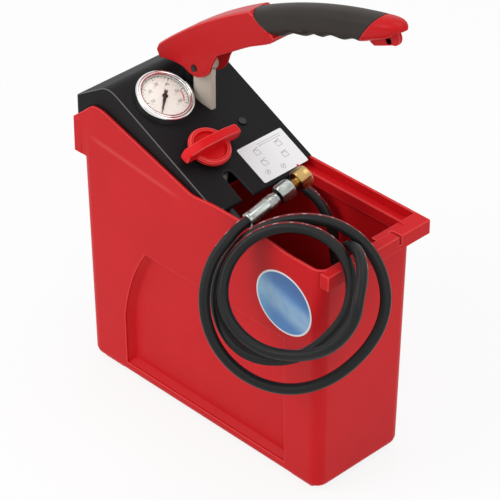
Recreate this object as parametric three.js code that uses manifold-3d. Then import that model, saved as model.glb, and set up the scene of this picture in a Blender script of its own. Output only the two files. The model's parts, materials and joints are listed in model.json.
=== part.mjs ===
// Hydrostatic test pump: a moulded water tank with a lever pump, gauge, relief valve and test hose.
// Millimetres. +X is the open front end, -Y the near side, +Z up, feet on z = 0.

import * as THREE from 'three';
import { mergeVertices } from 'three/addons/utils/BufferGeometryUtils.js';
import Module from 'manifold-3d';

const wasm = await Module();
wasm.setup();

// Overall sizes
const tankLength = 395;
const tankWidth = 155;
const rimHeight = 300;
const leverOverhang = 11;

// Shared clearances
const gap = 0.3;
const overrun = 6;
const fine = 24;
const coarse = 12;
const smooth = 36;
const hexSides = 6;
const squareSides = 4;
const mergeParts = 1000;

// Tank walls and feet
const tankWall = 3.5;
const tankFloor = 4;
const footHeight = 4;
const footLength = 34;
const footWidth = 20;
const footCorner = 3;
const cornerRadius = 14;
const bottomRadius = 8;
const frontDraft = 4.9;
const rearDraft = 2.6;
const nearDraft = 4.3;
const farDraft = 3;

// Rim flanges and the far rail
const flangeReach = 10;
const flangeSkin = 3;
const frontFlangeHeight = 17.7;
const rearFlangeDrop = 23;
const rearRimRise = 22;
const railOverhang = 15;
const railWidth = 26;
const railFloorDrop = 11;
const railBlockLength = 21;
const lockSlotFarInset = 46;
const lockSlotWidth = 3.4;
const lockLedgeWidth = 44;
const lockLedgeDepth = 12;

// Near wall edge: a low shoulder, a dip and the rise to the rear crest
const levelRimShare = 0.48;
const shoulderRise = 8;
const shoulderStartReach = 270;
const shoulderEndReach = 223;
const dipReach = 190;
const dipRise = 5;
const crestRise = 49;
const crestStartReach = 49;
const crestEndReach = 33;

// Recessed panel on the near wall
const panelDepth = 2.6;
const panelSoftEdge = 6;
const panelFrontSetback = 66;
const panelRearReach = 73;
const panelTopDrop = 112;
const panelBottomLift = 14;
const panelTopStep = 38;
const panelBulgeShare = 0.6;

// Ledges that carry the deck
const ledgeLength = 20;
const ledgeReach = 21;
const ledgeHeight = 34;
const deckDrop = 7;
const deckThickness = 3;
const deckRearReach = 23;
const deckFrontReach = 189;
const deckSideClearance = 1.2;
const deckScrewInset = 15;
const deckScrewEdge = 8;
const deckCorner = 8;
const ledgeRearReach = 44;
const ledgeFrontReach = 172;

// Hood over the rear half
const hoodWall = 3;
const hoodFrontReach = 225.5;
const hoodFrontRise = -3.1;
const hoodFrontLip = 1;
const hoodSlope = THREE.MathUtils.degToRad(26.2);
const hoodApexReach = 55;
const hoodRearRise = 47;
const hoodNearInset = 4.2;
const hoodSkirtDrop = 4.5;
const hoodEdgeRadius = 5;
const hoodFarRadius = 13;
const hoodLobeRadius = 15;
const hoodRearCorner = 7;
const hoodFrontRadius = 2;
const hoodRearWallShare = 1.2;
const tongueDepth = 24;
const tongueWidth = 80;
const handSlotInset = 50;
const handSlotWidth = 16.5;
const handSlotLength = 35;
const handSlotRoundShare = 0.7;
const handSlotTaperShare = 0.8;

// Lever and its pivot, seen from the near side
const pivotReach = 112;
const pivotRise = 97;
const leverTravel = THREE.MathUtils.degToRad(42);
const leverArc = 670;
const leverWidth = 32;
const cheekThickness = 4;
const leverReach = 294;
const heelHeading = THREE.MathUtils.degToRad(41.9);
const heelBackShare = 1.93;
const heelRiseShare = 0.23;
const tipHeading = THREE.MathUtils.degToRad(10.9);
const armDepth = 40;
const gripWidth = 33;
const gripDepth = 32;
const gripWave = 1.6;
const gripWaves = 4;
const coreShare = 0.62;
const pivotRadius = 4;
const pivotPinReach = 1;
const pivotPinTail = 2;
const clipThickness = 1;
const clipWidth = 2.5;
const lugRadius = 10;
const lugEye = 3.2;
const lugThickness = 4.5;
const lugShare = 1.026;
const lugDepth = 20.5;
const eyeShare = 1.008;
const eyeDepth = 26.2;

// Pump: post, body, barrel, rod and piston
const crankLength = 30;
const rodRadius = 6;
const postNose = 14;
const postTail = 11.5;
const postTailHalf = 8.5;
const postNoseHalf = 3.5;
const postHubRadius = 10.5;
const postTailRadius = 5;
const postSideRadius = 4;
const postNoseRadius = 2;
const bodyHeight = 26;
const bodyRearReach = 50;
const bodyFrontReach = 145;
const bodyHalfWidth = 21.5;
const bodyCorner = 6;
const bodyScrewEdge = 8;
const deliveryEdge = 10;
const deliveryCapHeight = 6;
const deliveryCapRadius = 8;
const deliveryCapNeck = 1;
const armRearReach = 43;
const armFrontReach = 181;
const armNearReach = 13.6;
const armHeight = 6.5;
const armCorner = 8;
const armOverlap = 4;
const stemBossWall = 4;
const bossReach = 34;
const barrelRadius = 20;
const barrelWall = 6;
const barrelLength = 128;
const pistonLength = 26;
const pistonDepth = 96;
const sealHeight = 5;
const sealDepth = 4;
const eyeThickness = 12;
const eyeHeight = 21;
const eyeCorner = 6;
const pinRadius = 4;
const glandHeight = 12;
const glandRadius = 15;
const rodSealRadius = 9;
const footValveHeight = 30;
const footValveLip = 2;
const footMouthLedge = 6;
const ballRadius = 4.5;
const ballLift = 2;
const seatLedge = 1.5;
const ventRadius = 2;
const suctionRadius = 8;
const suctionWall = 2;
const strainerRadius = 15;
const strainerHeight = 26;
const strainerLift = 9;
const slitStartShare = 0.28;
const slitStepShare = 0.22;
const slitReachShare = 1.2;

// Gauge on the sloping panel
const gaugeReach = 94.1;
const gaugeCaseRadius = 30.5;
const gaugeCaseDepth = 26;
const bezelRadius = 34;
const bezelHeight = 11;
const bezelShoulder = 3;
const bezelChamfer = 1.5;
const lensSeat = 1;
const dialRadius = 28.6;
const dialLift = 6.4;
const dialThickness = 0.8;
const pointerLength = 23;
const pointerTail = 8;
const pointerThickness = 0.7;
const pointerTailHalf = 2;
const pointerHubHalf = 1.6;
const pointerTipHalf = 0.5;
const pointerHubShare = 2.4;
const lensLift = 9;
const lensThickness = 1.2;
const gaugeSweep = THREE.MathUtils.degToRad(270);
const gaugeZero = THREE.MathUtils.degToRad(-48);
const stemRadius = 7;
const stemLength = 20;
const stemFlatsLip = 2;

// Relief valve under the knob
const knobReach = 163.5;
const knobRadius = 24.7;
const knobLift = 4;
const knobThickness = 8;
const wingLength = 78;
const wingWidth = 12;
const wingHeight = 13;
const wingFootRadius = 3;
const wingDrop = 4;
const wingCrownRadius = 5;
const wingCrownShare = 0.45;
const wingEase = 2.5;
const knobEdge = 2;
const knobDishDepth = 4;
const knobDishMargin = 7;
const knobRimWidth = 5;
const valveSeatRadius = 13;
const valveSeatTop = 7;
const valveSeatBottom = 24;
const spindleRadius = 4;
const spindleNutHeight = 3;
const spindleNutRadius = 10;

// Screws
const screwRadius = 2.5;
const screwHeadRadius = 4.5;
const screwHeadHeight = 3.5;
const screwHeadClearance = 1;
const plateScrewGrip = 12;
const bodyScrewGrip = 4;
const topScrewGrip = 3;
const coverScrewGap = 7.5;
const coverScrewShare = 0.51045;
const bossRadius = 5.5;

// Hose outlet under the deck
const outletBossReach = 131;
const outletDrop = 29;
const sleeveLedgeGap = 1.43;
const outletLift = THREE.MathUtils.degToRad(9.5);
const outletRadius = 9;
const outletReach = 13;
const passageRadius = 2;
const adaptorLength = 14;
const adaptorFlats = 17;
const crimpRadius = 8.6;
const fixedCrimpLength = 26;

// Hose: free stretch, then the loops about a tilted axis over the near front corner
const hoseDiameter = 12.3;
const leadLength = 308;
const leadSteps = 24;
const leadSides = 10;
const loopSteps = 24;
const loopSides = 6;
const loopParts = 8;
const coilStepShare = 1.15;
const lineDivisions = 1000;
const samplesInDiameter = 3;
const gapDiameters = 4;
const coilSetback = 55;
const coilDrop = 55;
const coilBearing = THREE.MathUtils.degToRad(45.6);
const coilTilt = THREE.MathUtils.degToRad(34.5);

// Free end of the hose: sleeve, swivel nut and nipple
const endSetback = 117;
const endInset = -2;
const endRise = 16;
const endBearing = THREE.MathUtils.degToRad(86);
const endLift = THREE.MathUtils.degToRad(16.3);
const sleeveLength = 38;
const collarLength = 4;
const neckRadius = 4.6;
const swivelGap = 2.4;
const nutRadius = 11.6;
const nutLength = 18;
const nutLip = 2.6;
const threadRadius = 7;
const nippleNeck = 9;
const nippleRadius = 12.6;
const nippleLength = 15;
const nippleBore = 3;

// Return tube from the relief valve
const returnRadius = 4.6;
const returnSteps = 16;
const returnSides = 8;

// Places measured from the front or the rear flange face, the near wall and the rim
const frontX = (tankLength - leverOverhang) / 2;
const rearX = frontX - tankLength;
const nearY = -tankWidth / 2;
const farY = tankWidth / 2;
const behind = (setback) => frontX - setback;
const ahead = (reach) => rearX + reach;
const across = (inset) => nearY + inset;
const rim = (rise) => rimHeight + rise;
const at = (setback, inset, rise) => new THREE.Vector3(behind(setback), across(inset), rim(rise));
const inBody = (reach, inset, rise) => new THREE.Vector3(ahead(reach), across(inset), rim(rise));

// Gauge, lever post and barrel stand side by side, and share out the width that is left
const usedWidth = railOverhang + tankWall + hoodNearInset + 2 * bezelRadius + postTailHalf + barrelRadius;
const spareWidth = tankWidth - usedWidth;
const gaugeMarginShare = 0.31844;
const postGapShare = 0.09497;
const panelLineInset = hoodNearInset + spareWidth * gaugeMarginShare + bezelRadius;
const leverInset = panelLineInset + bezelRadius + spareWidth * postGapShare + postTailHalf;
const bodyNearInset = leverInset - bodyHalfWidth;
const bodyFarInset = leverInset + bodyHalfWidth;
const armNearInset = panelLineInset - armNearReach;
const coverScrewInset = leverInset + (tankWidth - railWidth - leverInset) * coverScrewShare;
const coverScrewReach = bodyFrontReach + coverScrewGap;
const lockSlotInset = tankWidth - lockSlotFarInset;

// Geometry to solid and back
function solidOf(geometry) {
  const bare = geometry.index ? geometry.toNonIndexed() : geometry.clone();
  bare.deleteAttribute('normal');
  bare.deleteAttribute('uv');
  const merged = mergeVertices(bare, gap / mergeParts);
  const positions = merged.attributes.position.array;
  const source = merged.index.array;
  const kept = [];
  let volume = 0;
  for (let i = 0; i < source.length; i += 3) {
    const [a, b, c] = [source[i], source[i + 1], source[i + 2]];
    if (a === b || b === c || a === c) continue;
    kept.push(a, b, c);
    const [p, q, r] = [a, b, c].map((k) => new THREE.Vector3().fromArray(positions, k * 3));
    volume += p.dot(q.cross(r));
  }
  if (volume < 0) kept.reverse();
  return new wasm.Manifold(new wasm.Mesh({
    numProp: 3,
    vertProperties: new Float32Array(positions),
    triVerts: new Uint32Array(kept),
  }));
}

function geometryOf(solid) {
  const mesh = solid.getMesh();
  const geometry = new THREE.BufferGeometry();
  geometry.setAttribute('position', new THREE.BufferAttribute(new Float32Array(mesh.vertProperties), 3));
  geometry.setIndex(new THREE.BufferAttribute(new Uint32Array(mesh.triVerts), 1));
  geometry.computeVertexNormals();
  return geometry;
}

const join = (solids) => solids.reduce((total, next) => total.add(next));
const cut = (solid, tools) => tools.reduce((total, next) => total.subtract(next), solid);

// Basic forms
function block(x0, x1, y0, y1, z0, z1) {
  const geometry = new THREE.BoxGeometry(x1 - x0, y1 - y0, z1 - z0);
  return solidOf(geometry.translate((x0 + x1) / 2, (y0 + y1) / 2, (z0 + z1) / 2));
}

function bar(from, to, radius, sides = fine, endRadius = radius) {
  const along = to.clone().sub(from);
  const geometry = new THREE.CylinderGeometry(endRadius, radius, along.length(), sides);
  const turn = new THREE.Quaternion().setFromUnitVectors(new THREE.Vector3(0, 1, 0), along.clone().normalize());
  geometry.applyQuaternion(turn);
  return solidOf(geometry.translate(...from.clone().add(to).multiplyScalar(0.5).toArray()));
}

function upright(x, y, z0, z1, radius, sides = fine, endRadius = radius) {
  return bar(new THREE.Vector3(x, y, z0), new THREE.Vector3(x, y, z1), radius, sides, endRadius);
}

function turned(profile, sides = fine) {
  const points = profile.map(([radius, height]) => new THREE.Vector2(radius, height));
  return solidOf(new THREE.LatheGeometry(points, sides).rotateX(Math.PI / 2));
}

// A closed outline whose corners are eased by the radius given with each point
function outline(points) {
  const shape = new THREE.Shape();
  const count = points.length;
  points.forEach(([x, y, radius = 0], i) => {
    const corner = new THREE.Vector2(x, y);
    const before = new THREE.Vector2(...points[(i + count - 1) % count]);
    const after = new THREE.Vector2(...points[(i + 1) % count]);
    const enter = corner.clone().add(before.sub(corner).setLength(radius));
    const leave = corner.clone().add(after.sub(corner).setLength(radius));
    if (i === 0) shape.moveTo(enter.x, enter.y);
    else shape.lineTo(enter.x, enter.y);
    if (radius > 0) shape.quadraticCurveTo(corner.x, corner.y, leave.x, leave.y);
  });
  return shape;
}

function extruded(shape, depth, curveSegments = 5) {
  return new THREE.ExtrudeGeometry(shape, { depth, steps: 1, curveSegments, bevelEnabled: false });
}

// Outlines in (x, z) carried from y0 to y1, in (x, y) from z0 to z1, and in (y, z) from x0 to x1
function sideways(shape, y0, y1) {
  const geometry = extruded(shape, y1 - y0);
  return solidOf(geometry.rotateX(Math.PI / 2).translate(0, y1, 0));
}

function upwards(shape, z0, z1) {
  return solidOf(extruded(shape, z1 - z0).translate(0, 0, z0));
}

function lengthways(shape, x0, x1) {
  const geometry = extruded(shape, x1 - x0);
  geometry.rotateX(Math.PI / 2).rotateZ(Math.PI / 2);
  return solidOf(geometry.translate(x0, 0, 0));
}

// A closed skin over a stack of equal rings of points
function loft(rings, lid = null) {
  const size = rings[0].length;
  const corners = [];
  const triangle = (a, b, c) => corners.push(...a.toArray(), ...b.toArray(), ...c.toArray());
  for (let k = 0; k + 1 < rings.length; k += 1) {
    for (let i = 0; i < size; i += 1) {
      const j = (i + 1) % size;
      triangle(rings[k][i], rings[k][j], rings[k + 1][j]);
      triangle(rings[k][i], rings[k + 1][j], rings[k + 1][i]);
    }
  }
  const last = rings[rings.length - 1];
  const faces = lid || rings[0].slice(2).map((_, i) => [0, i + 1, i + 2]);
  faces.forEach(([a, b, c]) => {
    triangle(rings[0][a], rings[0][c], rings[0][b]);
    triangle(last[a], last[b], last[c]);
  });
  const geometry = new THREE.BufferGeometry();
  geometry.setAttribute('position', new THREE.Float32BufferAttribute(corners, 3));
  return solidOf(geometry);
}

// An outline moved inwards by a small amount
function insetContour(points, inset) {
  const count = points.length;
  return points.map((point, i) => {
    const arrive = point.clone().sub(points[(i + count - 1) % count]).normalize();
    const depart = points[(i + 1) % count].clone().sub(point).normalize();
    const inward = new THREE.Vector2(-arrive.y - depart.y, arrive.x + depart.x).normalize();
    const stretch = Math.max(inward.dot(new THREE.Vector2(-arrive.y, arrive.x)), Math.SQRT1_2);
    return point.clone().addScaledVector(inward, inset / stretch);
  });
}

// An outline in (x, z) carried from y0 to y1 with eased edges
function easedPlate(shape, y0, y1, ease, curveSegments = 4) {
  const points = shape.extractPoints(curveSegments).shape;
  if (THREE.ShapeUtils.isClockWise(points)) points.reverse();
  const half = ease * (1 - Math.SQRT1_2);
  const levels = [
    [y0, ease], [y0 + half, half], [y0 + ease, 0], [y1 - ease, 0], [y1 - half, half], [y1, ease],
  ];
  const rings = levels.map(([y, inset]) => insetContour(points, inset)
    .map((point) => new THREE.Vector3(point.x, y, point.y)));
  return loft(rings, THREE.ShapeUtils.triangulateShape(points, []));
}

function roundedRing(x0, x1, y0, y1, radius, z) {
  const steps = 5;
  const centres = [[x1 - radius, y0 + radius], [x1 - radius, y1 - radius],
    [x0 + radius, y1 - radius], [x0 + radius, y0 + radius]];
  const ring = [];
  centres.forEach(([cx, cy], quarter) => {
    for (let i = 0; i <= steps; i += 1) {
      const angle = (quarter - 1 + i / steps) * Math.PI / 2;
      ring.push(new THREE.Vector3(cx + radius * Math.cos(angle), cy + radius * Math.sin(angle), z));
    }
  });
  return ring;
}

function tube(curve, radius, steps, sides, bore = 0) {
  const shape = new THREE.Shape();
  const hole = new THREE.Path();
  for (let i = 0; i < sides; i += 1) {
    const angle = i / sides * Math.PI * 2;
    const point = [Math.cos(angle), Math.sin(angle)];
    if (i === 0) shape.moveTo(point[0] * radius, point[1] * radius);
    else shape.lineTo(point[0] * radius, point[1] * radius);
    if (i === 0) hole.moveTo(point[0] * bore, point[1] * bore);
    else hole.lineTo(point[0] * bore, point[1] * bore);
  }
  if (bore > 0) shape.holes.push(hole);
  return solidOf(new THREE.ExtrudeGeometry(shape, { steps, extrudePath: curve }));
}

// Finishes
const finish = (color, roughness, metalness) => new THREE.MeshStandardMaterial({ color, roughness, metalness });
const tankRed = finish(0xc8282c, 0.42, 0);
const leverRed = finish(0xc32326, 0.38, 0);
const knobRed = finish(0xe12d32, 0.35, 0);
const hoodBlack = finish(0x2b2c2e, 0.55, 0);
const gripBlack = finish(0x423e3c, 0.6, 0);
const castGrey = finish(0xd5cfc3, 0.5, 0.1);
const steel = finish(0xc4c6c8, 0.3, 0.9);
const darkSteel = finish(0x55585b, 0.4, 0.8);
const zinc = finish(0xaab0aa, 0.38, 0.85);
const brass = finish(0xbe9650, 0.32, 0.9);
const rubber = finish(0x2d302e, 0.7, 0);
const white = finish(0xf0eeeb, 0.5, 0);
const glass = finish(0xe8f0f2, 0.08, 0);
const black = finish(0x141414, 0.5, 0);
const nylon = finish(0xd8d6cc, 0.55, 0);

const pump = new THREE.Group();

function place(parent, name, solid, material) {
  const mesh = new THREE.Mesh(geometryOf(solid), material);
  mesh.name = name;
  parent.add(mesh);
  return mesh;
}

// Tank
const bodyRearTop = rearX + flangeReach;
const bodyFrontTop = frontX - flangeReach;
const bodyFarTop = farY - railOverhang;

function tankShell(inset, floor) {
  const bottom = footHeight + floor;
  const top = rim(crestRise + overrun);
  const side = (z) => Math.max(rimHeight - z, 0) / (rimHeight - footHeight);
  const radius = Math.max(cornerRadius - inset, gap);
  const base = Math.max(bottomRadius - inset / 2, gap);
  const ring = (z, shrink) => roundedRing(
    bodyRearTop + rearDraft * side(z) + inset + shrink,
    bodyFrontTop - frontDraft * side(z) - inset - shrink,
    nearY + nearDraft * side(z) + inset + shrink,
    bodyFarTop - farDraft * side(z) - inset - shrink,
    radius, z,
  );
  const rings = [];
  for (let i = 0; i <= 3; i += 1) {
    const angle = i / 3 * Math.PI / 2;
    rings.push(ring(bottom + base * (1 - Math.cos(angle)), base * (1 - Math.sin(angle))));
  }
  rings.push(ring(rimHeight, 0), ring(top, 0));
  return loft(rings);
}

// The recessed panel: bulging rear edge, eased border
function panelTool(grow) {
  const front = behind(panelFrontSetback) + grow;
  const rear = ahead(panelRearReach) - grow;
  const top = rim(-panelTopDrop) + grow;
  const bottom = footHeight + panelBottomLift - grow;
  const height = top - bottom;
  const shape = new THREE.Shape();
  shape.moveTo(front, bottom);
  shape.lineTo(front, top);
  shape.lineTo(rear + panelTopStep, top);
  shape.quadraticCurveTo(rear + panelTopStep / 4, top - height / 4, rear, top - height * panelBulgeShare);
  shape.lineTo(rear, bottom);
  const depth = panelDepth + nearDraft + grow;
  const geometry = new THREE.ExtrudeGeometry(shape, {
    depth: overrun, bevelEnabled: true, bevelThickness: depth, bevelSize: panelSoftEdge,
    bevelOffset: -panelSoftEdge, bevelSegments: 1, curveSegments: 6,
  });
  geometry.rotateX(Math.PI / 2);
  geometry.translate(0, nearY, 0);
  const lean = new THREE.Matrix4().makeShear(0, 0, 0, 0, 0, 0);
  const slope = nearDraft / (rimHeight - footHeight);
  lean.set(1, 0, 0, 0, 0, 1, -slope, slope * rimHeight + depth - nearDraft, 0, 0, 1, 0, 0, 0, 0, 1);
  return solidOf(geometry.applyMatrix4(lean));
}

// Everything above the near wall edge, raised by a clearance
const rimSplit = nearY + cornerRadius + tankWall;

function nearRimTool(lift) {
  const top = rim(crestRise + 2 * overrun);
  const front = frontX + overrun;
  const rear = rearX - overrun;
  const levelEnd = frontX - (frontX - ahead(shoulderStartReach)) * levelRimShare;
  const edge = [
    [front, 0, 0], [levelEnd, 0, overrun], [ahead(shoulderStartReach), shoulderRise, overrun],
    [ahead(shoulderEndReach), shoulderRise, overrun], [ahead(dipReach), dipRise, overrun],
    [ahead(crestStartReach), crestRise, overrun], [ahead(crestEndReach), crestRise, overrun],
    [rearX, rearRimRise, 0], [rear, rearRimRise, 0],
  ].map(([x, rise, radius]) => [x, rim(rise) + lift, radius]);
  return sideways(outline([[front, top], ...edge, [rear, top]]), nearY - overrun, rimSplit);
}

// Everything above the other wall edges
function farRimTool() {
  const top = rim(crestRise + 2 * overrun);
  const front = frontX + overrun;
  const rear = rearX - overrun;
  const frontWall = bodyFrontTop - tankWall;
  const rearWall = bodyRearTop + tankWall;
  const low = rim(-railFloorDrop - gap);
  const far = outline([
    [front, top], [front, rim(0)], [frontWall, rim(0)], [frontWall, low], [rearWall, low],
    [rearWall, rim(rearRimRise)], [rear, rim(rearRimRise)], [rear, top],
  ]);
  return sideways(far, rimSplit - gap, farY + overrun);
}

// A flange across one end, open underneath
function endFlange(face, inner, bottom, top) {
  const outward = Math.sign(face - inner);
  const [x0, x1] = [Math.min(face, inner), Math.max(face, inner)];
  const skinFace = face - outward * flangeSkin;
  const [p0, p1] = [Math.min(skinFace, inner - outward * overrun), Math.max(skinFace, inner - outward * overrun)];
  const pocket = block(p0, p1, nearY + flangeSkin, farY - flangeSkin, bottom - overrun, top - flangeSkin);
  return cut(block(x0, x1, nearY, farY, bottom, top), [pocket]);
}

function farRail() {
  const skirt = rim(-frontFlangeHeight);
  const floor = rim(-railFloorDrop);
  const under = floor - flangeSkin;
  const lip = farY - railWidth;
  const shape = outline([
    [farY, skirt], [farY, rim(0)], [farY - flangeSkin, rim(0)], [farY - flangeSkin, floor],
    [lip + flangeSkin, floor], [lip + flangeSkin, rim(0)], [lip, rim(0)], [lip, under],
    [farY - flangeSkin, under], [farY - flangeSkin, skirt],
  ]);
  return lengthways(shape, rearX + flangeSkin, frontX - flangeSkin);
}

function ledges() {
  const top = rim(-deckDrop - deckThickness - gap);
  const sides = [[nearY + tankWall / 2, nearY + tankWall + ledgeReach],
    [bodyFarTop - tankWall - ledgeReach, bodyFarTop - tankWall / 2]];
  return [ledgeRearReach, ledgeFrontReach].flatMap((reach) => sides.map(([y0, y1]) => {
    const outer = Math.abs(y0) > Math.abs(y1) ? y0 : y1;
    const inner = outer === y0 ? y1 : y0;
    const shape = outline([
      [outer, top], [inner, top], [inner, top - ledgeHeight / 3], [outer, top - ledgeHeight],
    ]);
    return lengthways(shape, ahead(reach) - ledgeLength / 2, ahead(reach) + ledgeLength / 2);
  }));
}

const deckScrewPlaces = [ledgeRearReach, ledgeFrontReach].flatMap((reach) => [
  [ahead(reach), across(deckScrewInset)], [ahead(reach), farY - railWidth - deckScrewEdge],
]);

function makeTank() {
  const feet = [bodyRearTop + rearDraft + cornerRadius, bodyFrontTop - frontDraft - cornerRadius - footLength]
    .flatMap((x) => [nearY + nearDraft + cornerRadius / 2, bodyFarTop - farDraft - cornerRadius / 2 - footWidth]
      .map((y) => upwards(outline([
        [x, y, footCorner], [x + footLength, y, footCorner], [x + footLength, y + footWidth, footCorner],
        [x, y + footWidth, footCorner],
      ]), 0, footHeight + tankFloor / 2)));
  const outer = cut(tankShell(0, 0), [panelTool(0)]);
  const hollow = cut(tankShell(tankWall, tankFloor), [panelTool(tankWall), ...ledges()]);
  const walls = cut(outer, [hollow, nearRimTool(0), farRimTool()]);
  const railBlock = block(frontX - railBlockLength, frontX - gap, farY - railWidth, farY - gap,
    rim(-railFloorDrop - flangeSkin), rim(0));
  const lockLedge = block(bodyFrontTop - lockLedgeDepth, bodyFrontTop, across(lockSlotInset) - lockLedgeWidth / 2,
    across(lockSlotInset) + lockLedgeWidth / 2, rim(-2 * flangeSkin), rim(-flangeSkin / 2));
  const frontTop = rim(0);
  const whole = join([
    walls, ...feet, farRail(), railBlock, lockLedge,
    endFlange(frontX, bodyFrontTop - tankWall / 2, rim(-frontFlangeHeight), frontTop),
    endFlange(rearX, bodyRearTop + tankWall / 2, rim(-rearFlangeDrop), rim(rearRimRise)),
  ]);
  const screwHoles = deckScrewPlaces.map(([x, y]) => upright(x, y, rim(-deckDrop - ledgeHeight / 1.5),
    rim(0), screwRadius + gap, coarse));
  const slot = block(bodyFrontTop - lockLedgeDepth / 2, frontX + overrun,
    across(lockSlotInset) - lockSlotWidth / 2, across(lockSlotInset) + lockSlotWidth / 2,
    rim(-railFloorDrop), rim(overrun));
  return cut(whole, [...screwHoles, ...coverRearScrewHoles(), slot]);
}

// Hood: side outline, plan outline and their inner copies
const hoodLineRise = (reach) => hoodFrontRise + (hoodFrontReach - reach) * Math.tan(hoodSlope);
const hoodTopY0 = across(hoodNearInset);
const hoodTopY1 = farY - gap;

function hoodSide(inset) {
  const rear = rearX + inset;
  const front = ahead(hoodFrontReach) - inset;
  const drop = inset / Math.cos(hoodSlope);
  const rearDrop = inset * hoodRearWallShare;
  const bottom = inset > 0 ? rim(-hoodSkirtDrop - hoodFrontLip - overrun) : rim(-hoodSkirtDrop - hoodFrontLip);
  return outline([
    [rear, bottom], [rear, rim(hoodRearRise) - rearDrop, hoodEdgeRadius],
    [ahead(hoodApexReach), rim(hoodLineRise(hoodApexReach)) - drop, hoodEdgeRadius * 3],
    [front, rim(hoodFrontRise) - drop + inset * Math.tan(hoodSlope), inset > 0 ? 0 : hoodFrontRadius],
    [front, bottom],
  ]);
}

function hoodPlan(inset) {
  const rear = rearX + inset;
  const front = ahead(hoodFrontReach) - inset;
  const y0 = hoodTopY0 + inset;
  const y1 = hoodTopY1 - inset;
  return outline([
    [rear, y0, hoodRearCorner], [front - hoodEdgeRadius, y0, 0], [front, y0 + hoodLobeRadius, 0],
    [front, y1, hoodRearCorner], [rear, y1, hoodRearCorner],
  ]);
}

function hoodForm(inset) {
  const bottom = rim(-hoodSkirtDrop - hoodFrontLip - 2 * overrun);
  const top = rim(hoodLineRise(hoodApexReach) + overrun);
  const side = sideways(hoodSide(inset), hoodTopY0 + inset, hoodTopY1 - inset);
  return side.intersect(upwards(hoodPlan(inset), bottom, top));
}

// The sloping top panel is a frame of its own: +Z square to the panel, +X down the slope
const panelPoint = (reach, inset) => inBody(reach, inset, hoodLineRise(reach));
const panelTurn = new THREE.Matrix4().makeRotationY(hoodSlope);
const panelMatrix = (reach, inset) => panelTurn.clone().setPosition(panelPoint(reach, inset));

function inPanel(solid, reach, inset) {
  return solid.transform(panelMatrix(reach, inset).elements);
}

function coverRearScrewHoles() {
  const seat = bodyRearTop;
  return [-1, 1].flatMap((side) => [
    [rearX - overrun, seat, screwHeadRadius + screwHeadClearance],
    [seat - gap, bodyRearTop + tongueDepth, screwRadius + gap],
  ].map(([x0, x1, radius]) => bar(
    new THREE.Vector3(x0, side * tongueWidth / 3, rim(rearRimRise / 3)),
    new THREE.Vector3(x1, side * tongueWidth / 3, rim(rearRimRise / 3)),
    radius, coarse,
  )));
}

function postShape(grow) {
  const x = ahead(pivotReach);
  const y = across(leverInset);
  return outline([
    [x - postTail - grow, y - postTailHalf - grow, postTailRadius], [x, y - postTailHalf - grow, postSideRadius],
    [x + postNose + grow, y - postNoseHalf - grow, postNoseRadius],
    [x + postNose + grow, y + postNoseHalf + grow, postNoseRadius],
    [x, y + postTailHalf + grow, postSideRadius], [x - postTail - grow, y + postTailHalf + grow, postTailRadius],
  ]);
}

const rodReach = pivotReach - crankLength * (1 + Math.cos(leverTravel)) / 2;
const rodX = ahead(rodReach);
const leverY = across(leverInset);

function makeCover() {
  const shell = cut(hoodForm(0), [hoodForm(hoodWall)]);
  const rearSeat = block(rearX - overrun, bodyRearTop + tankWall + gap, nearY, farY + overrun,
    rimHeight - tankLength, rim(rearRimRise + gap));
  const farSeat = block(rearX - overrun, frontX, farY - railWidth - gap, farY + overrun,
    rimHeight - tankLength, rim(gap));
  const nearSeat = block(rearX - overrun, ahead(hoodFrontReach - hoodLobeRadius), nearY, 0,
    rimHeight - tankLength, rim(-hoodSkirtDrop));
  const tongueX = bodyRearTop + tankWall + gap;
  const tongue = sideways(outline([
    [rearX + hoodWall / 2, rim(rearRimRise + gap)], [tongueX, rim(rearRimRise + gap)],
    [tongueX, rim(rearRimRise + gap - tongueDepth)], [tongueX + hoodWall, rim(rearRimRise + gap - tongueDepth)],
    [tongueX + hoodWall, rim(rearRimRise + gap + hoodWall)],
    [rearX + hoodWall / 2, rim(rearRimRise + gap + hoodWall)],
  ]), -tongueWidth / 2, tongueWidth / 2);
  const bossX = ahead(coverScrewReach);
  const bossY = across(coverScrewInset);
  const boss = upright(bossX, bossY, rim(-deckDrop + gap), rim(hoodLineRise(coverScrewReach)) - hoodWall / 2,
    bossRadius, coarse);
  const bossHole = upright(bossX, bossY, rim(-2 * deckDrop), rim(hoodLineRise(hoodApexReach)),
    screwRadius + gap, coarse);
  const deep = -2 * hoodWall;
  const high = 2 * hoodWall;
  const gaugeHole = inPanel(upright(0, 0, 2 * deep, high, gaugeCaseRadius + gap, smooth),
    gaugeReach, panelLineInset);
  const knobHole = inPanel(upright(0, 0, 2 * deep, high, spindleRadius + 2 * gap), knobReach, panelLineInset);
  const headSeat = inPanel(upright(0, 0, -gap, high, screwHeadRadius + gap, coarse),
    coverScrewReach, coverScrewInset);
  const crest = rim(hoodLineRise(hoodApexReach) + overrun);
  const postHole = upwards(postShape(2 * gap), rim(0), crest);
  const rodHole = upright(rodX, leverY, rim(0), crest, rodRadius + 2 * gap);
  const half = handSlotWidth / 2;
  const handX = ahead(hoodFrontReach);
  const handY = across(handSlotInset);
  const handSlot = upwards(outline([
    [handX + overrun, handY - half], [handX + overrun, handY + half],
    [handX - handSlotLength, handY + half * handSlotTaperShare, half * handSlotRoundShare],
    [handX - handSlotLength, handY - half * handSlotTaperShare, half * handSlotRoundShare],
  ]), rim(-deckDrop - 2 * overrun), crest);
  const nearWall = cut(tankShell(-gap, -gap), [tankShell(tankWall + gap, -tankFloor), nearRimTool(gap),
    block(rearX, frontX, rimSplit, farY, 0, rim(crestRise * 2))]);
  return cut(join([cut(shell, [rearSeat, farSeat, nearSeat, nearWall]), tongue, boss]),
    [bossHole, gaugeHole, knobHole, headSeat, postHole, rodHole, handSlot, ...coverRearScrewHoles()]);
}

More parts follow.
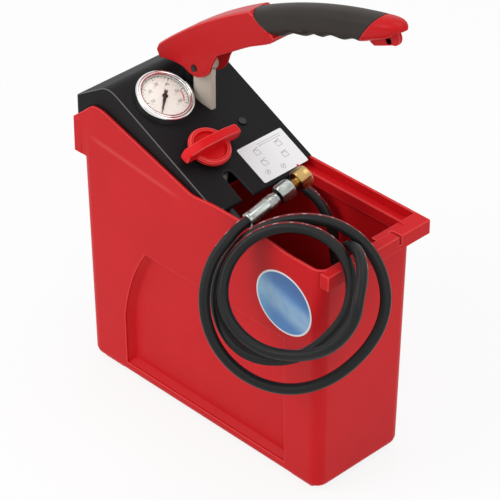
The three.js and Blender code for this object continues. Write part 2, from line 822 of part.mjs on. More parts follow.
// Deck plate on the ledges
const bodyScrewPlaces = [bodyRearReach + bodyScrewEdge, bodyFrontReach - bodyScrewEdge].flatMap((reach) => [
  [ahead(reach), across(bodyNearInset + bodyScrewEdge)], [ahead(reach), across(bodyFarInset - bodyScrewEdge)],
]);

function makeDeck() {
  const deckTop = rim(-deckDrop);
  const y0 = nearY + tankWall + deckSideClearance;
  const y1 = farY - railWidth - deckSideClearance;
  const plate = upwards(outline([
    [ahead(deckRearReach), y0, deckCorner], [ahead(deckFrontReach), y0, deckCorner],
    [ahead(deckFrontReach), y1, deckCorner], [ahead(deckRearReach), y1, deckCorner],
  ]), deckTop - deckThickness, deckTop);
  const hole = (x, y, radius) => upright(x, y, deckTop - 2 * deckThickness, deckTop + deckThickness,
    radius, coarse);
  return cut(plate, [
    upright(rodX, leverY, deckTop - 2 * deckThickness, deckTop + deckThickness, barrelRadius + gap),
    ...deckScrewPlaces.map(([x, y]) => hole(x, y, screwRadius + gap)),
    ...bodyScrewPlaces.map(([x, y]) => hole(x, y, screwRadius + gap)),
    hole(ahead(coverScrewReach), across(coverScrewInset), screwRadius + gap),
    hole(ahead(outletBossReach), leverY, outletRadius + 2 * gap),
  ]);
}

// Cast pump body: base, side arm, post with its hub, barrel and the valve passages
const bodyBottom = rim(-deckDrop + gap);
const bodyTop = bodyBottom + bodyHeight;
const barrelBottom = bodyBottom - barrelLength;
const boreRadius = barrelRadius - barrelWall;
const chamberTop = bodyBottom + bodyHeight / 2;
const valveX = ahead(bodyFrontReach - deliveryEdge);
const valveY = across(leverInset);

// Hose outlet: a boss that comes down through the deck and turns to the front
const heading = (bearing, lift) => new THREE.Vector3(
  Math.cos(bearing) * Math.cos(lift), Math.sin(bearing) * Math.cos(lift), Math.sin(lift),
);
const sleeveReach = outletReach + adaptorLength + fixedCrimpLength;
const ledgeInset = tankWidth - railOverhang - tankWall - ledgeReach;
const outletBearing = Math.asin((ledgeInset - sleeveLedgeGap - crimpRadius - leverInset)
  / (sleeveReach * Math.cos(outletLift)));
const outletStart = inBody(outletBossReach, leverInset, -outletDrop);
const outletHeading = heading(outletBearing, outletLift);
const alongOutlet = (distance) => outletStart.clone().addScaledVector(outletHeading, distance);

function makeBody() {
  const base = upwards(outline([
    [ahead(bodyRearReach), across(bodyNearInset), bodyCorner],
    [ahead(bodyFrontReach), across(bodyNearInset), bodyCorner],
    [ahead(bodyFrontReach), across(bodyFarInset), bodyCorner],
    [ahead(bodyRearReach), across(bodyFarInset), bodyCorner],
  ]), bodyBottom, bodyTop);
  const arm = upwards(outline([
    [ahead(armRearReach), across(armNearInset), armCorner],
    [ahead(armFrontReach), across(armNearInset), armCorner],
    [ahead(armFrontReach), across(bodyNearInset - armCorner), armCorner],
    [ahead(bodyFrontReach), across(bodyNearInset + armOverlap)],
    [ahead(armRearReach), across(bodyNearInset + armOverlap)],
  ]), bodyBottom, bodyBottom + armHeight);
  const below = block(rearX, frontX, nearY, farY, 0, bodyBottom);
  const gaugeBoss = inPanel(upright(0, 0, -gaugeCaseDepth - stemLength - bossReach, -gaugeCaseDepth - stemLength,
    stemRadius + stemBossWall, fine), gaugeReach, panelLineInset).subtract(below);
  const valveBoss = inPanel(upright(0, 0, -valveSeatBottom - bossReach, -valveSeatBottom - gap,
    valveSeatRadius, fine), knobReach, panelLineInset).subtract(below);
  const pivotX = ahead(pivotReach);
  const post = upwards(postShape(0), bodyTop - gap, rim(pivotRise));
  const across0 = leverWidth / 2 - cheekThickness - gap;
  const hub = bar(new THREE.Vector3(pivotX, leverY - across0, rim(pivotRise)),
    new THREE.Vector3(pivotX, leverY + across0, rim(pivotRise)), postHubRadius);
  const crown = sideways(outline([
    [pivotX - postTail, rim(pivotRise - postHubRadius)], [pivotX + postNose, rim(pivotRise - postHubRadius)],
    [pivotX + postNose, rim(pivotRise + postHubRadius), postNose],
    [pivotX - postTail, rim(pivotRise + postHubRadius), postTail],
  ]), leverY - postNoseHalf, leverY + postNoseHalf);
  const barrel = upright(rodX, leverY, barrelBottom, bodyBottom + gap, barrelRadius, fine);
  const outletBoss = upright(outletStart.x, outletStart.y, outletStart.z - outletRadius, bodyBottom + gap,
    outletRadius);
  const outletSide = bar(outletStart, alongOutlet(outletReach), outletRadius);
  const solid = join([base, arm, gaugeBoss, valveBoss, post, hub, crown, barrel, outletBoss, outletSide]);
  const bore = upright(rodX, leverY, barrelBottom - overrun, chamberTop, boreRadius, fine);
  const rodBore = upright(rodX, leverY, chamberTop - gap, bodyTop + overrun, rodRadius + gap);
  const sealBore = upright(rodX, leverY, bodyTop - sealHeight - gap, bodyTop + overrun, rodSealRadius);
  const pivotBore = bar(new THREE.Vector3(pivotX, leverY - leverWidth, rim(pivotRise)),
    new THREE.Vector3(pivotX, leverY + leverWidth, rim(pivotRise)), pivotRadius + gap);
  const passZ = chamberTop - pinRadius;
  const cross = bar(new THREE.Vector3(rodX, leverY, passZ), new THREE.Vector3(valveX, valveY, passZ),
    pinRadius / 2, coarse);
  const valveBore = upright(valveX, valveY, passZ - pinRadius / 2, bodyTop + overrun, ballRadius + gap, fine);
  const passage = upright(outletStart.x, outletStart.y, outletStart.z, passZ, passageRadius, coarse);
  const sidePassage = bar(outletStart, alongOutlet(outletReach + overrun), passageRadius, coarse);
  const holes = bodyScrewPlaces.map(([x, y]) => upright(x, y, bodyBottom - overrun, bodyTop + overrun,
    screwRadius + gap, coarse));
  return cut(solid, [bore, rodBore, sealBore, pivotBore, cross, valveBore, passage, sidePassage, ...holes]);
}

// Rod with its slotted eye, seal, gland nut, piston and balls
const eyeCentreRise = crankLength * Math.sin(leverTravel / 2) - (crankLength * Math.sin(leverTravel)) / 2;
const slotSlack = gap + eyeCentreRise / 2;
const eyeZ = rim(pivotRise) + eyeCentreRise / 2;
const slotHalfLength = crankLength * (1 - Math.cos(leverTravel)) / 2 + pinRadius + 2 * gap;
const pistonTop = bodyBottom - pistonDepth + pistonLength;
const pistonBottom = bodyBottom - pistonDepth;

function makeRod() {
  const half = slotHalfLength + pinRadius;
  const eye = sideways(outline([
    [rodX - half, eyeZ - eyeHeight / 2, eyeCorner], [rodX + half, eyeZ - eyeHeight / 2, eyeCorner],
    [rodX + half, eyeZ + eyeHeight / 2, eyeCorner], [rodX - half, eyeZ + eyeHeight / 2, eyeCorner],
  ]), leverY - eyeThickness / 2, leverY + eyeThickness / 2);
  const slotHeight = pinRadius + slotSlack;
  const slot = sideways(outline([
    [rodX - slotHalfLength, eyeZ - slotHeight, pinRadius], [rodX + slotHalfLength, eyeZ - slotHeight, pinRadius],
    [rodX + slotHalfLength, eyeZ + slotHeight, pinRadius], [rodX - slotHalfLength, eyeZ + slotHeight, pinRadius],
  ]), leverY - eyeThickness, leverY + eyeThickness);
  const shaft = upright(rodX, leverY, pistonTop + gap, eyeZ - eyeHeight / 3, rodRadius);
  return cut(join([shaft, eye]), [slot]);
}

function ringOf(x, y, z0, z1, outer, inner, sides = fine) {
  return cut(upright(x, y, z0, z1, outer, sides), [upright(x, y, z0 - overrun, z1 + overrun, inner, sides)]);
}

function makePiston() {
  const groove = pistonBottom + pistonLength / 2;
  const body = upright(rodX, leverY, pistonBottom, pistonTop, boreRadius - gap);
  const waist = ringOf(rodX, leverY, groove - sealHeight / 2 - gap, groove + sealHeight / 2 + gap,
    boreRadius, boreRadius - sealDepth);
  const cage = upright(rodX, leverY, pistonBottom + ballRadius,
    pistonBottom + ballRadius * 3 + ballLift + 2 * gap, ballRadius + 2 * gap);
  const inlet = upright(rodX, leverY, pistonBottom - overrun, pistonBottom + ballRadius + overrun,
    ballRadius - seatLedge);
  const vents = bar(new THREE.Vector3(rodX - boreRadius, leverY, pistonBottom + ballRadius * 2.6),
    new THREE.Vector3(rodX + boreRadius, leverY, pistonTop + gap), ventRadius, coarse);
  return cut(body, [waist, cage, inlet, vents]);
}

function ballAt(x, y, z) {
  const ball = new THREE.SphereGeometry(ballRadius, fine / 2, coarse / 2);
  return solidOf(ball.rotateX(Math.PI / 2).translate(x, y, z));
}

function makeFootValve() {
  const top = barrelBottom - gap;
  const bottom = top - footValveHeight;
  const flats = upright(rodX, leverY, bottom, top, barrelRadius + footValveLip, hexSides);
  const seat = bottom + suctionRadius;
  const cage = upright(rodX, leverY, seat, top + overrun, ballRadius + 2 * gap);
  const mouth = upright(rodX, leverY, seat + ballRadius * 2 + ballLift, top + overrun,
    boreRadius - footMouthLedge);
  const inlet = upright(rodX, leverY, bottom - overrun, seat + gap, ballRadius - seatLedge);
  const socket = upright(rodX, leverY, bottom - overrun, bottom + suctionRadius / 2, suctionRadius + gap);
  return cut(flats, [cage, mouth, inlet, socket]);
}

const footSeat = barrelBottom - gap - footValveHeight + suctionRadius;
const suctionTop = barrelBottom - gap - footValveHeight + suctionRadius / 2 - gap;
const strainerBottom = footHeight + tankFloor + strainerLift;

function makeStrainer() {
  const top = strainerBottom + strainerHeight;
  const body = upright(rodX, leverY, strainerBottom, top, strainerRadius, coarse);
  const hollow = upright(rodX, leverY, strainerBottom + suctionWall, top - suctionWall,
    strainerRadius - suctionWall, coarse);
  const socket = upright(rodX, leverY, top - suctionWall - overrun, top + overrun, suctionRadius - suctionWall);
  const slits = [0, 1, 2].flatMap((row) => [0, 1, 2, 3].map((turn) => {
    const angle = turn * Math.PI / 4;
    const reach = strainerRadius * slitReachShare;
    const z = strainerBottom + strainerHeight * (slitStartShare + row * slitStepShare);
    return solidOf(new THREE.BoxGeometry(reach * 2, strainerRadius / 3, suctionWall)
      .rotateZ(angle).translate(rodX, leverY, z));
  }));
  return cut(body, [hollow, socket, ...slits]);
}

// Lever outline points from a heading along the top arc and a depth below it
const heelPoint = new THREE.Vector2(-crankLength * heelBackShare, crankLength * heelRiseShare);
const arcCentre = new THREE.Vector2(
  heelPoint.x + leverArc * Math.sin(heelHeading),
  heelPoint.y - leverArc * Math.cos(heelHeading),
);
const headingAt = (share) => heelHeading + (tipHeading - heelHeading) * share;

function arcPoint(share, depth) {
  const heading = headingAt(share);
  return new THREE.Vector2(
    arcCentre.x - (leverArc - depth) * Math.sin(heading),
    arcCentre.y + (leverArc - depth) * Math.cos(heading),
  );
}

// Lower edge of the cheeks: shares of the arc and of the arm depth, from the grip back to the heel
const cheekShares = [
  [0.545, 0.86], [0.40, 0.97], [0.245, 1.0], [0.205, 1.16], [0.172, 1.34], [0.128, 1.4],
  [0.086, 1.26], [0.052, 0.84], [0.0, 0.5], [-0.03, 0.36],
];

const heelLeadShares = [-0.022, 0.08];
const armTopShare = 0.475;
const armTopSteps = 14;
const armEaseShare = 0.8;

function armSolid() {
  const shape = new THREE.Shape();
  const lead = arcPoint(heelLeadShares[0], armDepth * heelLeadShares[1]);
  shape.moveTo(lead.x, lead.y);
  for (let i = 0; i <= armTopSteps; i += 1) {
    const point = arcPoint(armTopShare * i / armTopSteps, 0);
    shape.lineTo(point.x, point.y);
  }
  shape.splineThru(cheekShares.slice(0, 3).map(([share, depth]) => arcPoint(share, depth * armDepth)));
  shape.splineThru(cheekShares.slice(3).map(([share, depth]) => arcPoint(share, depth * armDepth)));
  return easedPlate(shape, -leverWidth / 2, leverWidth / 2, cheekThickness * armEaseShare);
}

const channelRearShare = 0.01;
const channelReachShare = 0.37;
const channelFrontShare = 0.38;
const channelRoofShare = 1.3;
const channelSteps = 10;

function channelTool() {
  const shape = new THREE.Shape();
  const roof = cheekThickness * channelRoofShare;
  const rear = arcPoint(channelRearShare, roof);
  shape.moveTo(rear.x, rear.y);
  for (let i = 1; i <= channelSteps; i += 1) {
    const point = arcPoint(channelRearShare + channelReachShare * i / channelSteps, roof);
    shape.lineTo(point.x, point.y);
  }
  const low = arcPoint(channelFrontShare, armDepth * 2);
  shape.lineTo(low.x, low.y);
  shape.lineTo(low.x, -armDepth);
  shape.lineTo(rear.x, -armDepth);
  const half = leverWidth / 2 - cheekThickness;
  return sideways(shape, -half, half);
}

// Rings of the grip, the core and the tip: shares of the arc with slanted ends
const gripStartShare = 0.47;
const gripEndShare = 0.993;
const gripStartSlantShare = 0.075;
const gripEndSlantShare = -0.09;

const gripSides = 16;
const gripSquareness = 0.82;
const slantRun = 1.6;
const squared = (value) => Math.sign(value) * Math.abs(value) ** gripSquareness;

function gripRing(share, grow, wave, pinch = 0, raise = 0, lean = 1) {
  const along = (share - gripStartShare) / (gripEndShare - gripStartShare);
  const slant = gripStartSlantShare * Math.max(0, 1 - along * slantRun)
    + gripEndSlantShare * Math.max(0, along * slantRun - slantRun + 1);
  const ring = [];
  for (let i = 0; i < gripSides; i += 1) {
    const angle = i / gripSides * Math.PI * 2;
    const vertical = squared(Math.sin(angle));
    const lateral = squared(Math.cos(angle));
    const ripple = vertical < 0 ? wave * Math.sin(along * gripWaves * Math.PI * 2) * -vertical : 0;
    const halfDepth = gripDepth / 2 + grow - pinch;
    const depth = gripDepth / 2 - raise - vertical * halfDepth + ripple;
    const spot = arcPoint(share + slant * lean * (0.5 - vertical / 2), depth);
    ring.push(new THREE.Vector3(spot.x, lateral * (gripWidth / 2 + grow), spot.y));
  }
  return ring;
}

function gripLoft(from, to, grow, wave, steps) {
  const rings = [];
  for (let i = 0; i <= steps; i += 1) rings.push(gripRing(from + (to - from) * i / steps, grow, wave));
  return loft(rings);
}

const gripSteps = 28;
const coreSteps = 10;
const coreStartShare = 0.06;
const coreEndShare = 0.03;
const coreHoleShare = 0.05;
const coreShrink = -(gripWidth / 2) * (1 - coreShare);

// Tip: stations along it, with the shares lost in width, in depth and from below
const tipReachShare = 0.0855;
const tipUprightShare = 0.6;
const tipShares = [
  [0, 0, 0, 0], [0.2, 0.01, 0.04, 0.05], [0.42, 0.06, 0.08, 0.12], [0.64, 0.13, 0.12, 0.17],
  [0.82, 0.26, 0.12, 0.17], [0.94, 0.46, 0.08, 0.16], [1, 0.7, 0.04, 0.14],
];

function tipSolid() {
  const start = gripEndShare + gap / leverReach;
  return loft(tipShares.map(([along, narrow, shallow, lifted]) => gripRing(
    start + tipReachShare * along, -gripWidth / 2 * narrow, 0, gripDepth / 2 * shallow, gripDepth / 2 * lifted,
    1 - along * tipUprightShare,
  )));
}

// Web under the tip that carries the eye: shares of the arc and of the grip depth
const webShares = [[1.04, 0.4], [0.925, 0.7], [0.93, 1.02], [0.945, 1.12], [0.985, 1.04]];

function webSolid() {
  const nose = arcPoint(lugShare, lugDepth);
  const shape = outline([...webShares.map(([share, depth]) => arcPoint(share, depth * gripDepth).toArray()),
    [nose.x, nose.y - lugRadius], [nose.x + lugRadius, nose.y]]);
  const half = lugThickness / 2;
  return join([
    sideways(shape, -half, half),
    bar(new THREE.Vector3(nose.x, -half, nose.y), new THREE.Vector3(nose.x, half, nose.y), lugRadius),
  ]);
}

function makeLever() {
  const core = gripLoft(gripStartShare - coreStartShare, gripEndShare + coreEndShare, coreShrink, 0, coreSteps);
  const spot = arcPoint(eyeShare, eyeDepth);
  const eye = bar(new THREE.Vector3(spot.x, -leverWidth, spot.y), new THREE.Vector3(spot.x, leverWidth, spot.y),
    lugEye, coarse);
  const wide = new THREE.Vector3(0, leverWidth, 0);
  const pivotHole = bar(wide.clone().negate(), wide, pivotRadius + gap);
  const pinHalf = new THREE.Vector3(0, leverWidth / 2 - cheekThickness / 3, 0);
  const pinCentre = new THREE.Vector3(-crankLength, 0, 0);
  const pinHole = bar(pinCentre.clone().sub(pinHalf), pinCentre.clone().add(pinHalf), pinRadius + gap);
  const grip = gripLoft(gripStartShare, gripEndShare, gap, gripWave, gripSteps);
  const arm = cut(armSolid(), [channelTool(), grip]);
  const tip = tipSolid();
  return cut(join([arm, core, tip, webSolid()]), [eye, pivotHole, pinHole]);
}

function makeGrip() {
  const gapShare = gap / leverReach;
  const hole = gripLoft(gripStartShare - coreHoleShare, gripEndShare + coreHoleShare, coreShrink + gap, 0,
    coreSteps);
  return cut(gripLoft(gripStartShare + gapShare, gripEndShare - gapShare, 0, gripWave, gripSteps), [hole]);
}

// Assembly of the fixed pieces
place(pump, 'tank', makeTank(), tankRed);
place(pump, 'pump_cover', makeCover(), hoodBlack);
place(pump, 'deck_plate', makeDeck(), steel);
place(pump, 'pump_body', makeBody(), castGrey);
place(pump, 'piston_rod', makeRod(), darkSteel);
place(pump, 'rod_seal', ringOf(rodX, leverY, bodyTop - sealHeight, bodyTop - gap, rodSealRadius - gap,
  rodRadius + gap), rubber);
place(pump, 'gland_nut', cut(upright(rodX, leverY, bodyTop + gap, bodyTop + glandHeight, glandRadius, hexSides),
  [upright(rodX, leverY, bodyTop - overrun, bodyTop + 2 * glandHeight, rodRadius + gap)]), brass);
place(pump, 'piston', makePiston(), brass);
place(pump, 'piston_seal', ringOf(rodX, leverY, pistonBottom + (pistonLength - sealHeight) / 2,
  pistonBottom + (pistonLength + sealHeight) / 2, boreRadius - gap, boreRadius - sealDepth + gap), rubber);
place(pump, 'piston_ball', ballAt(rodX, leverY, pistonBottom + ballRadius * 2 + gap), steel);
place(pump, 'foot_valve', makeFootValve(), brass);
place(pump, 'foot_ball', ballAt(rodX, leverY, footSeat + ballRadius + gap), steel);
place(pump, 'suction_pipe', ringOf(rodX, leverY, strainerBottom + strainerHeight + gap, suctionTop, suctionRadius,
  suctionRadius - suctionWall), nylon);
place(pump, 'strainer', makeStrainer(), nylon);
place(pump, 'delivery_ball', ballAt(valveX, valveY, chamberTop - pinRadius * 1.5 + ballRadius + gap), steel);
place(pump, 'delivery_cap', join([
  upright(valveX, valveY, bodyTop + gap, bodyTop + deliveryCapHeight, deliveryCapRadius, hexSides),
  upright(valveX, valveY, chamberTop - pinRadius * 1.5 + ballRadius * 2 + ballLift + 3 * gap,
    bodyTop + deliveryCapNeck, ballRadius, coarse),
]), brass);

// Screws: a head with a shank below it
function screw(x, y, top, length) {
  return join([
    upright(x, y, top, top + screwHeadHeight, screwHeadRadius, coarse),
    upright(x, y, top - length, top + gap, screwRadius, coarse),
  ]);
}

deckScrewPlaces.forEach(([x, y], i) => place(pump, `plate_screw_${i + 1}`,
  screw(x, y, rim(-deckDrop + gap), deckThickness + plateScrewGrip), steel));
bodyScrewPlaces.forEach(([x, y], i) => place(pump, `body_screw_${i + 1}`,
  screw(x, y, bodyTop + gap, bodyHeight + deckThickness + bodyScrewGrip), steel));
[-1, 1].forEach((side, i) => {
  const local = screw(0, 0, gap, tongueDepth / 2);
  const spin = new THREE.Matrix4().makeRotationY(-Math.PI / 2)
    .setPosition(bodyRearTop, side * tongueWidth / 3, rim(rearRimRise / 3));
  place(pump, `cover_screw_rear_${i + 1}`, local.transform(spin.elements), steel);
});

function makeTopScrew() {
  const head = inPanel(upright(0, 0, 0, screwHeadHeight / 2, screwHeadRadius, coarse), coverScrewReach,
    coverScrewInset);
  const shank = upright(ahead(coverScrewReach), across(coverScrewInset),
    rim(-deckDrop - deckThickness - topScrewGrip), rim(hoodLineRise(coverScrewReach)), screwRadius, coarse);
  return join([head, shank]);
}
place(pump, 'cover_screw_top', makeTopScrew(), darkSteel);

// Gauge, in the frame of the panel
const gauge = new THREE.Group();
gauge.position.copy(panelPoint(gaugeReach, panelLineInset));
gauge.rotation.y = hoodSlope;
pump.add(gauge);
place(gauge, 'gauge_case', turned([
  [0, -gaugeCaseDepth], [gaugeCaseRadius, -gaugeCaseDepth], [gaugeCaseRadius, dialLift - gap],
  [0, dialLift - gap],
]), steel);
place(gauge, 'gauge_bezel', turned([
  [gaugeCaseRadius + gap, gap], [bezelRadius, gap], [bezelRadius, bezelHeight - bezelShoulder],
  [bezelRadius - bezelChamfer, bezelHeight], [dialRadius - lensSeat, bezelHeight],
  [dialRadius - lensSeat, lensLift + lensThickness + gap],
  [dialRadius + lensSeat, lensLift + lensThickness + gap],
  [gaugeCaseRadius + gap, dialLift], [gaugeCaseRadius + gap, gap],
], smooth), steel);
place(gauge, 'gauge_dial', upright(0, 0, dialLift, dialLift + dialThickness, dialRadius, smooth), white);
place(gauge, 'gauge_lens', upright(0, 0, lensLift, lensLift + lensThickness, dialRadius, smooth), glass);

function makePointer() {
  const z0 = dialLift + dialThickness + gap;
  const z1 = z0 + pointerThickness;
  const needle = upwards(outline([
    [-pointerTail, -pointerTailHalf], [0, -pointerHubHalf], [pointerLength, -pointerTipHalf],
    [pointerLength, pointerTipHalf], [0, pointerHubHalf], [-pointerTail, pointerTailHalf],
  ]), z0, z1);
  const hub = upright(0, 0, z0, z1, pointerTail / pointerHubShare, coarse);
  return join([needle, hub]).rotate([0, 0, THREE.MathUtils.radToDeg(gaugeZero)]);
}
place(gauge, 'gauge_pointer', makePointer(), black);
place(gauge, 'gauge_stem', join([
  upright(0, 0, -gaugeCaseDepth - stemLength + gap * 2, -gaugeCaseDepth - gap, stemRadius),
  upright(0, 0, -gaugeCaseDepth - stemLength / 2, -gaugeCaseDepth - gap, stemRadius + stemFlatsLip, squareSides),
]), brass);

// Relief valve, in the frame of the panel
const valve = new THREE.Group();
valve.position.copy(panelPoint(knobReach, panelLineInset));
valve.rotation.y = hoodSlope;
pump.add(valve);
place(valve, 'valve_seat_body', cut(upright(0, 0, -valveSeatBottom, -valveSeatTop, valveSeatRadius, hexSides), [
  upright(0, 0, -valveSeatBottom + spindleRadius, 0, spindleRadius + gap),
  upright(0, 0, -valveSeatBottom - overrun, 0, spindleRadius / 2, coarse),
]), brass);
place(valve, 'spindle_nut', cut(upright(0, 0, -valveSeatTop + gap, -valveSeatTop + gap + spindleNutHeight,
  spindleNutRadius, hexSides), [
  upright(0, 0, -valveSeatTop - overrun, 0, spindleRadius + gap),
]), brass);
place(valve, 'valve_spindle', join([
  upright(0, 0, -valveSeatBottom + spindleRadius + gap, knobLift + knobThickness / 2, spindleRadius),
]), steel);

function makeKnob() {
  const disc = turned([
    [0, knobLift], [knobRadius - knobEdge, knobLift], [knobRadius, knobLift + knobEdge],
    [knobRadius, knobLift + knobThickness - knobEdge], [knobRadius - knobEdge, knobLift + knobThickness],
    [0, knobLift + knobThickness],
  ], smooth);
  const base = knobLift + knobThickness;
  const dish = turned([
    [0, base - knobDishDepth], [knobRadius - knobDishMargin, base - knobDishDepth],
    [knobRadius - knobRimWidth, base + gap], [0, base + gap],
  ], smooth);
  const half = wingLength / 2;
  const wing = lengthwaysWing(half, base);
  const bore = upright(0, 0, knobLift - overrun, knobLift + knobThickness / 2 + gap, spindleRadius + gap);
  return cut(join([cut(disc, [dish]), wing]), [bore]);
}

function lengthwaysWing(half, base) {
  const top = base + wingHeight;
  const low = knobLift + knobThickness / 3;
  const profile = outline([
    [-half, low, wingFootRadius], [half, low, wingFootRadius], [half, top - wingDrop, wingDrop],
    [half * wingCrownShare, top, wingCrownRadius], [-half * wingCrownShare, top, wingCrownRadius],
    [-half, top - wingDrop, wingDrop],
  ]);
  const solid = easedPlate(profile, -wingWidth / 2, wingWidth / 2, wingEase);
  return solid.rotate([0, 0, 90]);
}
place(valve, 'relief_knob', makeKnob(), knobRed);

// Lever, in the frame of its pivot
const lever = new THREE.Group();
lever.position.copy(inBody(pivotReach, leverInset, pivotRise));
pump.add(lever);
place(lever, 'lever_arm', makeLever(), leverRed);
place(lever, 'lever_grip', makeGrip(), gripBlack);
const pivotHalf = new THREE.Vector3(0, leverWidth / 2 + pivotPinReach, 0);
const pivotEnd = pivotHalf.clone().add(new THREE.Vector3(0, pivotPinTail, 0));
place(lever, 'pivot_pin', bar(pivotHalf.clone().negate(), pivotEnd, pivotRadius), darkSteel);
const clipY = leverWidth / 2 + gap;
place(lever, 'pin_clip', cut(bar(new THREE.Vector3(0, clipY, 0), new THREE.Vector3(0, clipY + clipThickness, 0),
  pivotRadius + clipWidth),
  [bar(new THREE.Vector3(0, clipY - overrun, 0), new THREE.Vector3(0, clipY + overrun, 0),
    pivotRadius + gap)]), steel);
const crossHalf = new THREE.Vector3(0, leverWidth / 2 - cheekThickness / 3 - gap, 0);
const crossCentre = new THREE.Vector3(-crankLength, 0, 0);
place(lever, 'piston_pin', bar(crossCentre.clone().sub(crossHalf), crossCentre.clone().add(crossHalf),
  pinRadius), steel);

// Hose route: setback, inset and rise of each point from the fixed sleeve to the first loop
const leadRoute = [
  [168, 116, -12], [146, 119, -15], [126, 121, -27], [113, 122, -48], [107, 121, -74], [96, 116, -99],
  [77, 105, -116], [55, 90, -118], [36, 76, -104], [28, 66, -79], [30, 60, -53], [34, 54, -27], [27, 47, -3],
  [9, 41, 16], [-14, 30, 23], [-35, 13, 17],
].map((place) => at(...place));

// Loops: reach from the axis and rise along it at every eighth of a turn, from the front downwards
const loopStations = [
  [68, 93], [63, 73], [57, 38], [61, 20], [70, 14], [75, 18], [76, 36], [72, 53],
  [61, 54], [54, 37], [61, 15], [74, -2], [78, -12], [79, 4], [84, 23], [95, 38],
  [99, 31], [93, 11], [94, -3], [92, -10], [90, 5], [91, 14],
];

function loopPoints() {
  const axis = heading(coilBearing - Math.PI / 2, coilTilt);
  const side = heading(coilBearing, 0);
  const top = new THREE.Vector3().crossVectors(axis, side);
  const stations = new THREE.SplineCurve(loopStations.map(([reach, rise]) => new THREE.Vector2(reach, rise)));
  const steps = (loopStations.length - 1) * loopSteps / loopParts;
  const points = [];
  for (let i = 0; i <= steps; i += 1) {
    const station = stations.getPoint(i / steps);
    const angle = -i / loopSteps * Math.PI * 2;
    points.push(at(coilSetback, 0, -coilDrop)
      .addScaledVector(side, station.x * Math.cos(angle))
      .addScaledVector(top, station.x * Math.sin(angle))
      .addScaledVector(axis, station.y));
  }
  return points;
}

// One smooth line through all the points, straight for a diameter at both ends
const hoseStart = alongOutlet(outletReach + adaptorLength + fixedCrimpLength + 2 * gap);
const endStart = at(endSetback, endInset, endRise);
const endHeading = heading(endBearing, endLift);
const hoseLine = new THREE.CatmullRomCurve3([
  hoseStart, hoseStart.clone().addScaledVector(outletHeading, hoseDiameter),
  ...leadRoute, ...loopPoints(),
  endStart.clone().addScaledVector(endHeading, -hoseDiameter), endStart.clone().addScaledVector(endHeading, -gap),
]);
hoseLine.arcLengthDivisions = lineDivisions;
const hoseLength = hoseLine.getLength();

class Stretch extends THREE.Curve {
  constructor(line, from, to) {
    super();
    Object.assign(this, { line, from, to });
  }

  getPoint(share) {
    return this.line.getPointAt(this.from + (this.to - this.from) * share);
  }
}

function leastGap(line, diameter) {
  const samples = Math.round(line.getLength() / (diameter / samplesInDiameter));
  const points = line.getSpacedPoints(samples);
  let least = Infinity;
  for (let i = 0; i < points.length; i += 1) {
    for (let j = i + samplesInDiameter * gapDiameters; j < points.length; j += 1) {
      least = Math.min(least, points[i].distanceTo(points[j]));
    }
  }
  return least - diameter;
}

const jointShare = leadLength / hoseLength;
const jointGapShare = gap / hoseLength;
const loopCount = (loopStations.length - 1) * loopSteps / loopParts;
const coilSteps = Math.round(loopCount * (1 - jointShare) * coilStepShare);
place(pump, 'hose_lead', tube(new Stretch(hoseLine, 0, jointShare), hoseDiameter / 2, leadSteps,
  leadSides), rubber);
place(pump, 'hose_coil', tube(new Stretch(hoseLine, jointShare + jointGapShare, 1), hoseDiameter / 2, coilSteps,
  loopSides), rubber);
console.log('hose length', hoseLength.toFixed(1));
console.log('least gap to itself', leastGap(hoseLine, hoseDiameter).toFixed(2));

// A frame whose +Z runs along a fitting
function fittingFrame(start, direction) {
  const frame = new THREE.Group();
  frame.position.copy(start);
  frame.quaternion.setFromUnitVectors(new THREE.Vector3(0, 0, 1), direction);
  pump.add(frame);
  return frame;
}

// Fixed end: adaptor in the outlet and the crimped sleeve on it
const fixedEnd = fittingFrame(outletStart, outletHeading);
const adaptorStart = outletReach + gap;
const adaptorEnd = adaptorStart + adaptorLength - gap;
place(fixedEnd, 'outlet_adaptor', cut(join([
  upright(0, 0, adaptorStart, adaptorEnd - adaptorLength / 3, adaptorFlats / 2, hexSides),
  upright(0, 0, adaptorStart, adaptorEnd, crimpRadius - hoseDiameter / 6, coarse),
]), [upright(0, 0, 0, adaptorEnd + overrun, passageRadius, coarse)]), brass);

function crimpedSleeve(start, end) {
  const ease = crimpRadius / 6;
  const waist = (end - start) * 0.7;
  return turned([
    [0, start], [crimpRadius - ease, start], [crimpRadius, start + ease], [crimpRadius, start + waist],
    [crimpRadius - ease, start + waist + ease], [crimpRadius - ease, end], [0, end],
  ]);
}
place(fixedEnd, 'fixed_ferrule', crimpedSleeve(adaptorEnd + gap, adaptorEnd + fixedCrimpLength), zinc);

// Free end: sleeve with a flared neck that holds the swivel nut, and the nipple screwed into the nut
const freeEnd = fittingFrame(endStart, endHeading);
const neckStart = sleeveLength + collarLength;
const nutStart = neckStart + swivelGap;
const flareStart = nutStart + nutLip + gap;
const nutEnd = nutStart + nutLength;
place(freeEnd, 'hose_ferrule', join([
  crimpedSleeve(0, sleeveLength),
  upright(0, 0, sleeveLength - gap, neckStart, crimpRadius - 2 * gap, coarse),
  upright(0, 0, neckStart - gap, flareStart + gap, neckRadius, coarse),
  upright(0, 0, flareStart, flareStart + nutLip, threadRadius - gap, coarse),
]), zinc);
place(freeEnd, 'swivel_nut', cut(upright(0, 0, nutStart, nutEnd, nutRadius, hexSides), [
  upright(0, 0, nutStart - overrun, nutEnd, neckRadius + gap),
  upright(0, 0, flareStart - gap, nutEnd + overrun, threadRadius),
]), zinc);
const nippleStart = flareStart + nutLip + 2 * gap;
const nippleEnd = nutEnd + nippleNeck + nippleLength;
